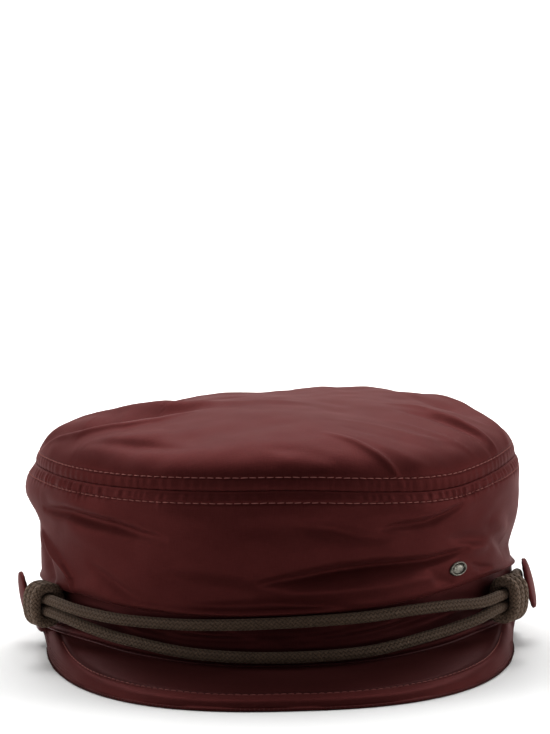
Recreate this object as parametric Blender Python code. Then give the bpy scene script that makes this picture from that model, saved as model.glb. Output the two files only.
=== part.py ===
"""Soft cloth sailor cap with a short visor, a cord looped round two covered buttons and a small metal stud.

The cap stands as it would by itself: on the outer edge of its visor and on the back of its band.
Sizes are in metres. The pieces are worked out in the cap's own upright frame, whose zero height is the lower
edge of the band: the visor points along -Y and angles go round from the front (0) to the right (+90).
"""

import math

import bmesh
import bpy
from mathutils import Matrix, Vector

# Band, the ring of cloth that goes round the head: outer outline, height and cloth.
BAND_HALF_WIDTH = 0.085
BAND_HALF_LENGTH = 0.100
BAND_HEIGHT = 0.017
BAND_WALL = 0.002
BAND_ARCH = 0.0053  # rise of the band at the temples, over its front and back
WELT_HEIGHT = 0.0030  # rolled lower edge of the band
WELT_OUT = 0.0012

# Crown: the side wall and the domed top that is sewn to it.
CROWN_SEAM_HEIGHT = 0.0622  # height of the seam between side and top above the band's lower edge
SEAM_DROOP = 0.0062  # how much lower the seam hangs in front, at its lowest
CROWN_HALF_WIDTH = 0.0868  # outline at that seam
CROWN_HALF_LENGTH = 0.102
CROWN_WALL = 0.0018
CROWN_BULGE = 0.0040  # how far the soft side wall stands out between its two seams
DOME_HEIGHT = 0.0215
DOME_SQUARENESS = 2.45

# Visor: a stiff board covered in cloth.
VISOR_LENGTH = 0.037  # from the band's outline to the edge, seen from above
VISOR_HALF_WIDTH = 0.0843
VISOR_SHIFT = -0.0005  # middle of the outer edge, off the middle of the band
VISOR_WALL = 0.0026
VISOR_HALF_ANGLE = 86.0  # degrees from the front to the tips
VISOR_SQUARENESS = 2.5  # exponent of the outer edge's superellipse
VISOR_ROLL = 1.7  # exponent of the fall from the band to the edge: above 1 it steepens outwards

# Cord, doubled across the front, round the shank of each button and bound by a coil near each end.
CORD_DIAMETER = 0.0038
COIL_CORD_DIAMETER = 0.0037  # the same cord, drawn tight
COIL_AROUND = {"left": -67.0, "right": 58.5}  # degrees from the front to the middle of each coil
COIL_UP = {"left": 0.60, "right": 0.57}  # shares of BAND_HEIGHT
COIL_TURNS = 3.0
COIL_SQUARENESS = 2.8
COIL_DRAW = 8.0  # degrees over which the strands draw together beside a coil

# Covered buttons, and the shanks that hold them to the band.
BUTTON_RADIUS = 0.0092
BUTTON_EDGE = 0.0010
BUTTON_DOME = 0.0014
SHANK_RADIUS = 0.0015
BUTTON_AROUND = {"left": -90.0, "right": 79.0}  # degrees from the front
BUTTON_LEAN = {"left": 9.0, "right": 12.0}  # degrees, both with the top towards -X
BUTTON_YAW = {"left": 9.0, "right": 0.0}  # degrees that the face is turned towards the front
BUTTON_UP = {"left": 0.54, "right": 0.64}  # shares of BAND_HEIGHT

# Small oval metal stud on the right of the crown.
STUD_HALF_LENGTH = 0.0047
STUD_HALF_WIDTH = 0.0028
STUD_THICKNESS = 0.0016
STUD_AROUND = 42.0
STUD_UP = 0.215  # share of the crown side's height
STUD_TURN = 26.0  # degrees, its right end up
STUD_CLEARANCE = 0.0007  # the plate is flat and the cloth behind it is curved

# How the cap stands: the visor lifts the front, and the back of the soft band is flattened on the surface.
REST_TILT = 2.5  # degrees
REST_FLATTENING = 0.0010

SEAM_GAP = 0.0003  # clearance between pieces that are sewn together or touch

AROUND_STEPS = 72
VISOR_STEPS = 40
ROUND_STEPS = 24
SHARP_ANGLE = math.radians(40)

CORD_RADIUS = CORD_DIAMETER / 2
STRAND_STOP = 6.0  # degrees before the button where the strands leave for their turn round the shank
SIDE_HEIGHT = CROWN_SEAM_HEIGHT - BAND_HEIGHT

# Outer profile of the band, from its upper edge down: share of the height above the welt or of the welt itself,
# and how far out, as a share of WELT_OUT.
BAND_ABOVE_WELT = ((1.00, 0.00), (0.50, -0.15))
BAND_WELT = ((1.00, 0.05), (0.78, 0.62), (0.42, 1.00), (0.12, 0.85), (0.00, 0.45))

# Rise of the band's edges round the head, as a share of BAND_ARCH. The table holds for both sides.
BAND_RISE = (
    # around, rise
    (0.0, 0.00),
    (12.0, 0.02),
    (22.0, 0.13),
    (30.0, 0.30),
    (40.0, 0.55),
    (50.0, 0.86),
    (60.0, 1.00),
    (70.0, 0.98),
    (80.0, 0.88),
    (92.0, 0.76),
    (120.0, 0.44),
    (150.0, 0.14),
    (180.0, 0.00),
)

# How much lower the seam at the crown's top hangs round the head, as a share of SEAM_DROOP.
SEAM_FALL = (
    # around, fall
    (-180.0, 0.00),
    (-90.0, 0.00),
    (-75.0, 0.05),
    (-60.0, 0.27),
    (-50.0, 0.39),
    (-42.0, 0.46),
    (-30.0, 0.51),
    (-15.0, 0.52),
    (0.0, 0.52),
    (8.0, 0.60),
    (14.0, 0.71),
    (24.0, 0.87),
    (33.0, 1.00),
    (38.0, 1.00),
    (44.0, 0.94),
    (50.0, 0.76),
    (60.0, 0.45),
    (69.0, 0.20),
    (80.0, 0.04),
    (90.0, 0.00),
    (180.0, 0.00),
)

# Outer profile of the crown's side wall: height as a share of SIDE_HEIGHT, how far it stands out as a share of
# CROWN_BULGE, beyond a straight wall between the outlines of its two seams.
SIDE_PROFILE = (
    # up, out
    (0.00, 0.00),
    (0.09, 0.30),
    (0.22, 0.46),
    (0.38, 0.50),
    (0.54, 0.52),
    (0.70, 0.62),
    (0.84, 0.66),
    (0.94, 0.42),
    (1.00, 0.05),
)

# Folds and dents of the side wall. Half lengths, half widths and depths are shares of SIDE_HEIGHT.
SIDE_FOLDS = (
    # around, up, slant, half_length, half_width, depth
    (-54.0, 0.50, -10.0, 0.85, 0.16, -0.070),
    (-58.0, 0.74, -6.0, 0.80, 0.20, 0.040),
    (-76.0, 0.30, -50.0, 0.60, 0.18, -0.045),
    (-64.0, 0.24, -50.0, 0.55, 0.17, 0.045),
    (-88.0, 0.86, 0.0, 0.60, 0.17, 0.050),
    (-90.0, 0.44, 0.0, 0.70, 0.22, -0.075),
    (88.0, 0.82, 0.0, 0.60, 0.25, 0.010),
    (30.0, 0.56, 8.0, 0.50, 0.12, -0.055),
    (24.0, 0.28, 5.0, 1.30, 0.17, -0.045),
    (62.0, 0.40, 20.0, 0.50, 0.22, -0.045),
    (118.0, 0.48, 14.0, 0.90, 0.18, -0.055),
    (158.0, 0.36, -12.0, 1.00, 0.16, -0.050),
    (-152.0, 0.52, 10.0, 1.10, 0.18, -0.055),
    (-116.0, 0.34, -16.0, 0.80, 0.18, -0.050),
)

# Folds and dents of the top. Places are shares of the seam's half width (x) and half length (y); half lengths,
# half widths and heights are shares of CROWN_HALF_WIDTH.
TOP_FOLDS = (
    # x, y, slant, half_length, half_width, height
    (-0.62, 0.06, 34.0, 0.50, 0.10, -0.055),
    (-0.60, -0.26, 32.0, 0.48, 0.10, 0.030),
    (-0.45, 0.50, 10.0, 0.50, 0.25, -0.022),
    (-0.36, -0.58, 24.0, 0.36, 0.08, -0.022),
    (0.26, -0.34, -36.0, 0.36, 0.070, 0.030),
    (0.14, -0.56, -32.0, 0.40, 0.090, -0.026),
    (0.60, -0.12, -30.0, 0.34, 0.080, 0.026),
    (0.66, 0.20, -20.0, 0.36, 0.20, 0.030),
    (0.72, -0.30, -34.0, 0.30, 0.10, -0.020),
    (0.28, 0.40, 24.0, 0.46, 0.12, 0.016),
    (0.05, 0.66, 20.0, 0.30, 0.10, -0.016),
)

# Heights of the two strands of the doubled cord above the band's lower edge, as shares of BAND_HEIGHT, at angles
# from the front.
STRAND_HEIGHTS = (
    # around, upper, lower
    (-84.0, 0.70, 0.40),
    (-64.0, 0.66, 0.42),
    (-55.0, 0.64, 0.39),
    (-48.0, 0.64, 0.33),
    (-42.0, 0.66, 0.29),
    (-36.0, 0.69, 0.28),
    (-26.0, 0.75, 0.23),
    (-12.0, 0.83, 0.20),
    (0.0, 0.87, 0.19),
    (10.0, 0.89, 0.20),
    (19.0, 0.89, 0.22),
    (25.0, 0.89, 0.26),
    (30.0, 0.87, 0.29),
    (36.0, 0.83, 0.31),
    (42.0, 0.77, 0.33),
    (50.0, 0.64, 0.30),
    (58.0, 0.62, 0.33),
    (84.0, 0.66, 0.40),
)

# How far the strands stand off the band: from lying on it (0) to leaving room for the coil behind them (1), at
# shares of the way from the front to the coil (1.00) and on to the button (2.00).
STRAND_LIFT = (
    # along, stand_off
    (0.00, 0.00),
    (0.22, 0.00),
    (0.45, 0.06),
    (0.68, 0.42),
    (0.86, 1.00),
    (0.93, 1.04),
    (1.00, 1.02),
    (1.17, 1.05),
    (1.34, 1.04),
    (1.70, 0.38),
    (2.00, 0.00),
)


def outline(around, half_width, half_length, out=0.0):
    """Point of an ellipse at an angle from the front, moved out along the ellipse's normal."""
    angle = math.radians(around)
    point = Vector((half_width * math.sin(angle), -half_length * math.cos(angle), 0.0))
    return point + out * outward(around, half_width, half_length)


def outward(around, half_width=BAND_HALF_WIDTH, half_length=BAND_HALF_LENGTH):
    angle = math.radians(around)
    return Vector((math.sin(angle) / half_width, -math.cos(angle) / half_length, 0.0)).normalized()


def arch(around):
    """Rise of the band's edges, and of all that is fixed to them, at an angle from the front."""
    return BAND_ARCH * interpolate(BAND_RISE, abs(around), 1)


def seam_drop(around):
    """How much lower the seam at the crown's top hangs at an angle from the front."""
    return SEAM_DROOP * interpolate(SEAM_FALL, around, 1)


def floor_height(y):
    """Height, in the cap's own frame, of the surface that it stands on, which its tilt makes fall to the front."""
    tilt = math.radians(REST_TILT)
    return (y - BAND_HALF_LENGTH) * math.tan(tilt) + REST_FLATTENING / math.cos(tilt)


def smooth_step(value):
    value = min(1.0, max(0.0, value))
    return value * value * (3.0 - 2.0 * value)


def fold_sum(folds, place, fade):
    """Adds up soft folds: place(row) gives the offset from a fold's middle, and each fold has its own slant."""
    total = 0.0
    for first, second, slant, half_length, half_width, depth in folds:
        across, up = place(first, second)
        turn = math.radians(slant)
        along = across * math.cos(turn) + up * math.sin(turn)
        aside = up * math.cos(turn) - across * math.sin(turn)
        total += depth * math.exp(-((along / half_length) ** 2) - (aside / half_width) ** 2)
    return total * fade


def interpolate(rows, value, column):
    """Smooth curve through one column of a table whose first column rises (Catmull-Rom)."""
    last = len(rows) - 1
    k = next((i for i in range(last) if value <= rows[i + 1][0]), last - 1)
    x0, x1 = rows[k][0], rows[k + 1][0]
    y0, y1 = rows[k][column], rows[k + 1][column]
    before, after = rows[max(k - 1, 0)], rows[min(k + 2, last)]
    slope_0 = (y1 - before[column]) / (x1 - before[0]) if k > 0 else 0.0
    slope_1 = (after[column] - y0) / (after[0] - x0)
    t = (value - x0) / (x1 - x0)
    h = x1 - x0
    return (
        (2 * t**3 - 3 * t**2 + 1) * y0
        + (t**3 - 2 * t**2 + t) * h * slope_0
        + (3 * t**2 - 2 * t**3) * y1
        + (t**3 - t**2) * h * slope_1
    )


def skin(name, rings, closed=False):
    """Mesh through rings of points. A ring of one point is a pole, and a closed skin joins its last ring to its first."""
    mesh = bmesh.new()
    made = [[mesh.verts.new(point) for point in ring] for ring in rings]
    pairs = list(zip(made, made[1:] + made[:1]))
    for low, high in pairs if closed else pairs[:-1]:
        count = max(len(low), len(high))
        for i in range(count):
            j = (i + 1) % count
            if len(low) == 1:
                corners = (low[0], high[j], high[i])
            elif len(high) == 1:
                corners = (low[i], low[j], high[0])
            else:
                corners = (low[i], low[j], high[j], high[i])
            mesh.faces.new(corners)
    bmesh.ops.recalc_face_normals(mesh, faces=mesh.faces)
    data = bpy.data.meshes.new(name)
    mesh.to_mesh(data)
    mesh.free()
    data.shade_smooth()
    data.set_sharp_from_angle(angle=SHARP_ANGLE)
    return data


def ring_angles():
    return [360.0 * i / AROUND_STEPS - 180.0 for i in range(AROUND_STEPS)]


def band_rings():
    """Cross-section of the band: its outer face with the rolled edge, its flat lower rim and its inner face."""
    above = BAND_HEIGHT - WELT_HEIGHT
    section = [(WELT_HEIGHT + share * above, out * WELT_OUT) for share, out in BAND_ABOVE_WELT]
    section += [(share * WELT_HEIGHT, out * WELT_OUT) for share, out in BAND_WELT]
    section += [(share * BAND_HEIGHT, -BAND_WALL) for share in (0.0, 0.5, 1.0)]
    rings = []
    for height, out in section:
        ring = []
        for around in ring_angles():
            point = outline(around, BAND_HALF_WIDTH, BAND_HALF_LENGTH, out)
            point.z = max(height + arch(around), floor_height(point.y))
            ring.append(point)
        rings.append(ring)
    return rings


def side_point(around, up, inset=0.0):
    """Point of the crown's side wall: up is 0 at the band and 1 at the seam with the top."""
    half_width = BAND_HALF_WIDTH + up * (CROWN_HALF_WIDTH - BAND_HALF_WIDTH)
    half_length = BAND_HALF_LENGTH + up * (CROWN_HALF_LENGTH - BAND_HALF_LENGTH)
    girth = (BAND_HALF_WIDTH + BAND_HALF_LENGTH) / 2

    def place(fold_around, fold_up):
        turn = (around - fold_around + 180.0) % 360.0 - 180.0
        return math.radians(turn) * girth / SIDE_HEIGHT, up - fold_up

    fade = smooth_step(up / 0.12) * smooth_step((1.0 - up) / 0.12)
    swell = CROWN_BULGE * interpolate(SIDE_PROFILE, up, 1)
    folds = SIDE_HEIGHT * fold_sum(SIDE_FOLDS, place, fade)
    point = outline(around, half_width, half_length, swell + folds - inset)
    lower = BAND_HEIGHT + arch(around) + SEAM_GAP
    upper = CROWN_SEAM_HEIGHT - seam_drop(around) - SEAM_GAP / 2
    point.z = lower + up * (upper - lower)
    return point


def side_rings():
    heights = [row[0] for row in SIDE_PROFILE]
    outer = [[side_point(around, up) for around in ring_angles()] for up in heights]
    inner = [[side_point(around, up, CROWN_WALL) for around in ring_angles()] for up in reversed(heights)]
    return outer + inner


def top_point(around, rise, inset=0.0):
    """Point of the domed top: rise is 0 at its seam and 1 in the middle."""
    quarter = rise * math.pi / 2
    share = math.cos(quarter) ** (2 / DOME_SQUARENESS) if rise < 1.0 else 0.0
    height = (DOME_HEIGHT - inset) * math.sin(quarter) ** (2 / DOME_SQUARENESS)
    half_width, half_length = CROWN_HALF_WIDTH - inset, CROWN_HALF_LENGTH - inset
    point = outline(around, half_width, half_length) * share
    x_share, y_share = point.x / half_width, point.y / half_length

    def place(fold_x, fold_y):
        return x_share - fold_x, (y_share - fold_y) * half_length / half_width

    fade = smooth_step(rise / 0.30)
    seam = CROWN_SEAM_HEIGHT - (1.0 - rise) * seam_drop(around) + SEAM_GAP / 2
    point.z = seam + height + CROWN_HALF_WIDTH * fold_sum(TOP_FOLDS, place, fade)
    return point


def top_rings():
    steps = 9
    rises = [i / steps for i in range(steps)]
    outer = [[top_point(around, rise) for around in ring_angles()] for rise in reversed(rises)]
    inner = [[top_point(around, rise, CROWN_WALL) for around in ring_angles()] for rise in rises]
    return [[top_point(0.0, 1.0)]] + outer + inner + [[top_point(0.0, 1.0, CROWN_WALL)]]


def visor_edge(around):
    """Point of the visor's outer edge seen from above, on a superellipse."""
    angle, power = math.radians(around), 2 / VISOR_SQUARENESS
    x = VISOR_SHIFT + VISOR_HALF_WIDTH * math.copysign(abs(math.sin(angle)) ** power, angle)
    return Vector((x, -(BAND_HALF_LENGTH + VISOR_LENGTH) * math.cos(angle) ** power, 0.0))


def visor_section(around):
    """Closed cross-section of the visor at one angle: out along the top, round the edge and back underneath."""
    inner = outline(around, BAND_HALF_WIDTH, BAND_HALF_LENGTH, -BAND_WALL)
    under_welt = outline(around, BAND_HALF_WIDTH, BAND_HALF_LENGTH, WELT_OUT)
    edge = visor_edge(around)
    edge.z = floor_height(edge.y) + VISOR_WALL
    run = edge - under_welt
    run.z = 0.0

    def on_top(share):
        point = under_welt + share * run
        start = rise - SEAM_GAP
        point.z = start + share**VISOR_ROLL * (edge.z - start)
        return point

    down = Vector((0.0, 0.0, VISOR_WALL))
    rise = arch(around)
    inner.z = rise - SEAM_GAP
    top = [inner] + [on_top(share) for share in (0.0, 0.22, 0.44, 0.64, 0.82, 0.94)]
    under = [point - down for point in reversed(top)]
    rim = [edge - share * down for share in (0.3, 0.72)]
    toe = on_top(0.985)
    toe.z = edge.z - down.z
    under = [toe] + under
    return [Vector((p.x, p.y, max(p.z, floor_height(p.y)))) for p in top + rim + under]


def visor_mesh():
    count = VISOR_STEPS
    sections = [visor_section(VISOR_HALF_ANGLE * (2 * i / count - 1)) for i in range(count + 1)]
    mesh = bmesh.new()
    made = [[mesh.verts.new(point) for point in section] for section in sections]
    size = len(made[0])
    for first, second in zip(made, made[1:]):
        for i in range(size):
            j = (i + 1) % size
            mesh.faces.new((first[i], first[j], second[j], second[i]))
    for end in (made[0], made[-1]):
        mesh.faces.new(end)
    bmesh.ops.triangulate(mesh, faces=[face for face in mesh.faces if len(face.verts) > 4])
    bmesh.ops.recalc_face_normals(mesh, faces=mesh.faces)
    data = bpy.data.meshes.new("visor")
    mesh.to_mesh(data)
    mesh.free()
    data.shade_smooth()
    data.set_sharp_from_angle(angle=SHARP_ANGLE)
    return data


def side_of(around):
    return "right" if around >= 0.0 else "left"


def coil_half_depth():
    """From the middle of a strand to the middle of the coil's cord in front of it or behind it."""
    return (CORD_DIAMETER + COIL_CORD_DIAMETER) / 2 + 1.5 * SEAM_GAP


def coil_half_angle():
    """Half the length of a coil, in degrees round the band."""
    half_length = COIL_TURNS / 2 * (COIL_CORD_DIAMETER + SEAM_GAP) + COIL_CORD_DIAMETER / 2
    return math.degrees(half_length / ((BAND_HALF_WIDTH + BAND_HALF_LENGTH) / 2))


def strand_end(word):
    return abs(BUTTON_AROUND[word]) - STRAND_STOP


def strand_half_gap():
    """Half the distance between the middles of the two strands inside a coil."""
    return (CORD_DIAMETER + SEAM_GAP) / 2


def stand_off(share):
    """How far a strand's middle is from the band: lying on it, or with the coil's cord behind it."""
    lying = SEAM_GAP + CORD_RADIUS
    lifted = SEAM_GAP + COIL_CORD_DIAMETER / 2 + coil_half_depth()
    return lying + share * (lifted - lying)


def along_route(around):
    """Share of the route at an angle: 0 at the front, 1 at the coil and 2 at the end of the strands."""
    side = side_of(around)
    coil = abs(COIL_AROUND[side])
    here = abs(around)
    return here / coil if here < coil else 1.0 + (here - coil) / (strand_end(side) - coil)


def strand_height(around, up):
    """Height of the upper (up = 1) or lower (up = -1) strand at an angle."""
    side = side_of(around)
    route = along_route(around)
    height = BAND_HEIGHT * interpolate(STRAND_HEIGHTS, around, 1 if up > 0 else 2)
    in_coil = BAND_HEIGHT * COIL_UP[side] + up * strand_half_gap()
    at_shank = BAND_HEIGHT * BUTTON_UP[side] + up * shank_turn_radius()
    beyond = max(0.0, abs(around - COIL_AROUND[side]) - coil_half_angle())
    to_coil = math.exp(-((beyond / COIL_DRAW) ** 2))
    to_shank = smooth_step((route - 1.4) / 0.6)
    height += (in_coil - height) * to_coil
    return height + (at_shank - height) * to_shank + arch(around)


def strand_point(around, up):
    height = strand_height(around, up)
    above_edge = height - arch(around)
    over_welt = WELT_OUT * smooth_step((WELT_HEIGHT + CORD_DIAMETER - above_edge) / CORD_RADIUS)
    out = max(stand_off(interpolate(STRAND_LIFT, along_route(around), 1)), stand_off(0.0) + over_welt)
    point = outline(around, BAND_HALF_WIDTH, BAND_HALF_LENGTH, out)
    point.z = height
    return point


def button_height(word):
    return BUTTON_UP[word] * BAND_HEIGHT + arch(BUTTON_AROUND[word])


def button_turn(word):
    """Angle about the upright axis from straight sideways to the way that the shank points."""
    side = math.copysign(1.0, BUTTON_AROUND[word])
    out_way = outward(BUTTON_AROUND[word])
    return math.atan2(side * out_way.y, side * out_way.x)


def shank_turn_radius():
    return SHANK_RADIUS + SEAM_GAP + CORD_RADIUS


def shank_turn(word, sign):
    """Half turn of the cord behind a shank, from the upper strand to the lower one or back."""
    middle = outline(BUTTON_AROUND[word], BAND_HALF_WIDTH, BAND_HALF_LENGTH, SEAM_GAP + CORD_RADIUS)
    middle.z = button_height(word)
    turn = button_turn(word)
    back = Vector((-math.sin(turn), math.cos(turn), 0.0))
    rise = Vector((0.0, 0.0, 1.0))
    angles = [sign * math.radians(90 - 180 * i / 8) for i in range(9)]
    return [middle + shank_turn_radius() * (math.cos(a) * back + math.sin(a) * rise) for a in angles]


def cord_points():
    """Closed loop: along the upper strand to the right, round the shank, and back along the lower strand."""
    count = 30
    first, last = -strand_end("left"), strand_end("right")
    steps = [first + (last - first) * i / count for i in range(count + 1)]
    upper = [strand_point(around, 1) for around in steps]
    lower = [strand_point(around, -1) for around in reversed(steps)]
    return upper + shank_turn("right", 1) + lower + shank_turn("left", -1)


def coil_points(word):
    """Turns of cord bound round both strands, on an oval with flattened sides."""
    around = COIL_AROUND[word]
    out_way = outward(around)
    middle = outline(around, BAND_HALF_WIDTH, BAND_HALF_LENGTH, stand_off(1.0))
    middle.z = COIL_UP[word] * BAND_HEIGHT + arch(around)
    along = Vector((-out_way.y, out_way.x, 0.0))
    half_height = strand_half_gap() + coil_half_depth()
    pitch = COIL_CORD_DIAMETER + SEAM_GAP
    steps_per_turn = 16
    power = 2 / COIL_SQUARENESS
    points = []
    for i in range(int(COIL_TURNS * steps_per_turn) + 1):
        turn = i / steps_per_turn
        angle = math.pi + 2 * math.pi * turn
        depth = math.copysign(abs(math.cos(angle)) ** power, math.cos(angle)) * coil_half_depth()
        rise = math.copysign(abs(math.sin(angle)) ** power, math.sin(angle)) * half_height
        offset = depth * out_way + rise * Vector((0.0, 0.0, 1.0)) + (turn - COIL_TURNS / 2) * pitch * along
        points.append(middle + offset)
    return points


def tube(name, points, closed, radius):
    """Round cord along a smooth run of points."""
    curve = bpy.data.curves.new(name, "CURVE")
    curve.dimensions = "3D"
    spline = curve.splines.new("POLY")
    spline.points.add(len(points) - 1)
    for target, point in zip(spline.points, points):
        target.co = (*point, 1.0)
    spline.use_cyclic_u = closed
    spline.use_smooth = True
    curve.bevel_depth = radius
    curve.bevel_resolution = 2
    curve.use_fill_caps = not closed
    curve.twist_mode = "MINIMUM"
    return curve


def turned(name, profile):
    """Solid of revolution about Z, from a profile of (radius, height) that starts and ends on the axis."""
    rings = []
    for radius, height in profile:
        count = ROUND_STEPS if radius > 0 else 1
        angles = [2 * math.pi * i / ROUND_STEPS for i in range(count)]
        rings.append([Vector((radius * math.cos(a), radius * math.sin(a), height)) for a in angles])
    return skin(name, rings)


def button_mesh(name, lean, yaw):
    """Domed covered button on a straight shank: height 0 is at the band, and only the button itself leans."""
    back = shank_length(lean, yaw)
    arch = [(math.cos(a) * BUTTON_RADIUS, math.sin(a) * BUTTON_DOME) for a in (0.45, 0.85, 1.2)]
    profile = [(0.0, SEAM_GAP), (SHANK_RADIUS, SEAM_GAP), (SHANK_RADIUS, back)]
    profile += [(BUTTON_RADIUS * 0.93, back), (BUTTON_RADIUS, back + BUTTON_EDGE * 0.5)]
    profile += [(BUTTON_RADIUS * 0.985, back + BUTTON_EDGE)]
    profile += [(radius, back + BUTTON_EDGE + height) for radius, height in arch]
    profile += [(0.0, back + BUTTON_EDGE + BUTTON_DOME)]
    mesh = turned(name, profile)
    pivot = Vector((0.0, 0.0, back))
    turn = Matrix.Rotation(yaw, 3, "X") @ Matrix.Rotation(-lean, 3, "Y")
    for vertex in mesh.vertices:
        if vertex.co.z > back - SEAM_GAP:
            vertex.co = pivot + turn @ (vertex.co - pivot)
    return mesh


def shank_length(lean, yaw):
    """Leaves room for the cord between the band and the back of the leaning button."""
    reach = SHANK_RADIUS + SEAM_GAP + CORD_DIAMETER
    return 2 * SEAM_GAP + CORD_DIAMETER + reach * math.sin(lean) + 0.7 * BUTTON_RADIUS * math.sin(yaw)


def stud_mesh():
    """Oval plate with a raised bead round its edge, lying in XY with its back at height 0."""
    profile = [(0.0, 0.0), (0.88, 0.0), (1.0, 0.25), (1.0, 0.75), (0.93, 1.0), (0.82, 0.92), (0.76, 0.62), (0.0, 0.80)]
    rings = []
    for share, height in profile:
        count = ROUND_STEPS if share > 0 else 1
        angles = [2 * math.pi * i / ROUND_STEPS for i in range(count)]
        ring = [(STUD_HALF_LENGTH * math.cos(a), STUD_HALF_WIDTH * math.sin(a)) for a in angles]
        rings.append([Vector((share * x, share * y, height * STUD_THICKNESS)) for x, y in ring])
    return skin("stud", rings)


def stud_place():
    """Frame of the stud on the crown's side wall: Z out of the cloth and X round the crown."""
    step_around, step_up = 2.0, 0.03
    middle = side_point(STUD_AROUND, STUD_UP)
    across = side_point(STUD_AROUND + step_around, STUD_UP) - side_point(STUD_AROUND - step_around, STUD_UP)
    rise = side_point(STUD_AROUND, STUD_UP + step_up) - side_point(STUD_AROUND, STUD_UP - step_up)
    out_way = across.cross(rise).normalized()
    x_axis = Matrix.Rotation(math.radians(STUD_TURN), 3, out_way) @ across.normalized()
    y_axis = out_way.cross(x_axis)
    frame = Matrix((x_axis, y_axis, out_way)).transposed().to_4x4()
    frame.translation = middle + STUD_CLEARANCE * out_way
    return frame


def material(name, colour, roughness, metallic=0.0):
    made = bpy.data.materials.new(name)
    made.use_nodes = True
    shader = made.node_tree.nodes["Principled BSDF"]
    shader.inputs["Base Color"].default_value = (*colour, 1.0)
    shader.inputs["Roughness"].default_value = roughness
    shader.inputs["Metallic"].default_value = metallic
    return made


def add(name, data, finish, cap, place=None):
    data.materials.append(finish)
    obj = bpy.data.objects.new(name, data)
    bpy.context.scene.collection.objects.link(obj)
    obj.parent = cap
    if place is not None:
        obj.matrix_local = place
    return obj


def add_crown(cap):
    side = skin("crown_side", side_rings(), closed=True)
    add("crown_side", side, material("crown_side", (0.085, 0.016, 0.018), 0.5), cap)
    add("crown_top", skin("crown_top", top_rings()), material("crown_top", (0.105, 0.022, 0.024), 0.5), cap)


def add_band(cap):
    add("band", skin("band", band_rings(), closed=True), material("band", (0.060, 0.012, 0.014), 0.55), cap)


def add_visor(cap):
    add("visor", visor_mesh(), material("visor", (0.085, 0.016, 0.018), 0.45), cap)


def add_cord(cap):
    colour = (0.070, 0.050, 0.036)
    loop = tube("cord_loop", cord_points(), True, CORD_RADIUS)
    add("cord_loop", loop, material("cord_loop", colour, 0.8), cap)
    for word in ("left", "right"):
        name = f"cord_coil_{word}"
        coil = tube(name, coil_points(word), False, COIL_CORD_DIAMETER / 2)
        add(name, coil, material(name, colour, 0.8), cap)


def add_buttons(cap):
    for side, word in ((-1, "left"), (1, "right")):
        name = f"button_{word}"
        mesh = button_mesh(name, math.radians(BUTTON_LEAN[word]), math.radians(BUTTON_YAW[word]))
        out = Matrix.Rotation(button_turn(word), 4, "Z") @ Matrix.Rotation(side * math.pi / 2, 4, "Y")
        out.translation = outline(BUTTON_AROUND[word], BAND_HALF_WIDTH, BAND_HALF_LENGTH)
        out.translation.z = button_height(word)
        add(name, mesh, material(name, (0.110, 0.024, 0.026), 0.5), cap, out)


def add_stud(cap):
    add("stud", stud_mesh(), material("stud", (0.55, 0.54, 0.50), 0.25, 1.0), cap, stud_place())


def stand_on_origin(cap):
    """Tilts the cap as it rests, and puts the middle of its lowest plane at the origin."""
    cap.rotation_euler.x = -math.radians(REST_TILT)
    bpy.context.view_layer.update()
    corners = []
    graph = bpy.context.evaluated_depsgraph_get()
    for obj in cap.children:
        solid = obj.evaluated_get(graph)
        mesh = solid.to_mesh()
        corners += [solid.matrix_world @ vertex.co for vertex in mesh.vertices]
        solid.to_mesh_clear()
    low = [min(corner[i] for corner in corners) for i in range(3)]
    high = [max(corner[i] for corner in corners) for i in range(3)]
    cap.location = (-(low[0] + high[0]) / 2, -(low[1] + high[1]) / 2, -low[2])


def main():
    for obj in list(bpy.data.objects):
        bpy.data.objects.remove(obj)
    cap = bpy.data.objects.new("cap", None)
    bpy.context.scene.collection.objects.link(cap)
    add_crown(cap)
    add_band(cap)
    add_visor(cap)
    add_cord(cap)
    add_buttons(cap)
    add_stud(cap)
    stand_on_origin(cap)


main()
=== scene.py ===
import math
from functools import partial

import bpy
import numpy as np
from mathutils import Matrix, Vector, noise


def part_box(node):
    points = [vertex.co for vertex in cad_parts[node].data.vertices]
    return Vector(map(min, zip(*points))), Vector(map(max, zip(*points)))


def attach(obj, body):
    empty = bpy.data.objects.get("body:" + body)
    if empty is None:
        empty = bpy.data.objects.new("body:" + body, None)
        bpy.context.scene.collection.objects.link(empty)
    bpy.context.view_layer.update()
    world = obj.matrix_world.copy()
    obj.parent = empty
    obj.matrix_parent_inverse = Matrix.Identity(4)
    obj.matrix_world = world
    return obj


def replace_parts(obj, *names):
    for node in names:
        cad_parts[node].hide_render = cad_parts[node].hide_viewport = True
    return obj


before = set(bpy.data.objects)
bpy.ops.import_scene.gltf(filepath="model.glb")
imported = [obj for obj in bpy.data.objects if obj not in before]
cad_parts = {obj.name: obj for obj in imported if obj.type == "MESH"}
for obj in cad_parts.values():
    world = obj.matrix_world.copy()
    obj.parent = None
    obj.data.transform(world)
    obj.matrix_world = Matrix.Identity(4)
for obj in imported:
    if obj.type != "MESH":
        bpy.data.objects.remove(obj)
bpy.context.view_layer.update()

MM = 0.001
REST_TILT = 2.5
CAP_PLACE = (0.00102, 0.01532, 0.00336)

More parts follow.
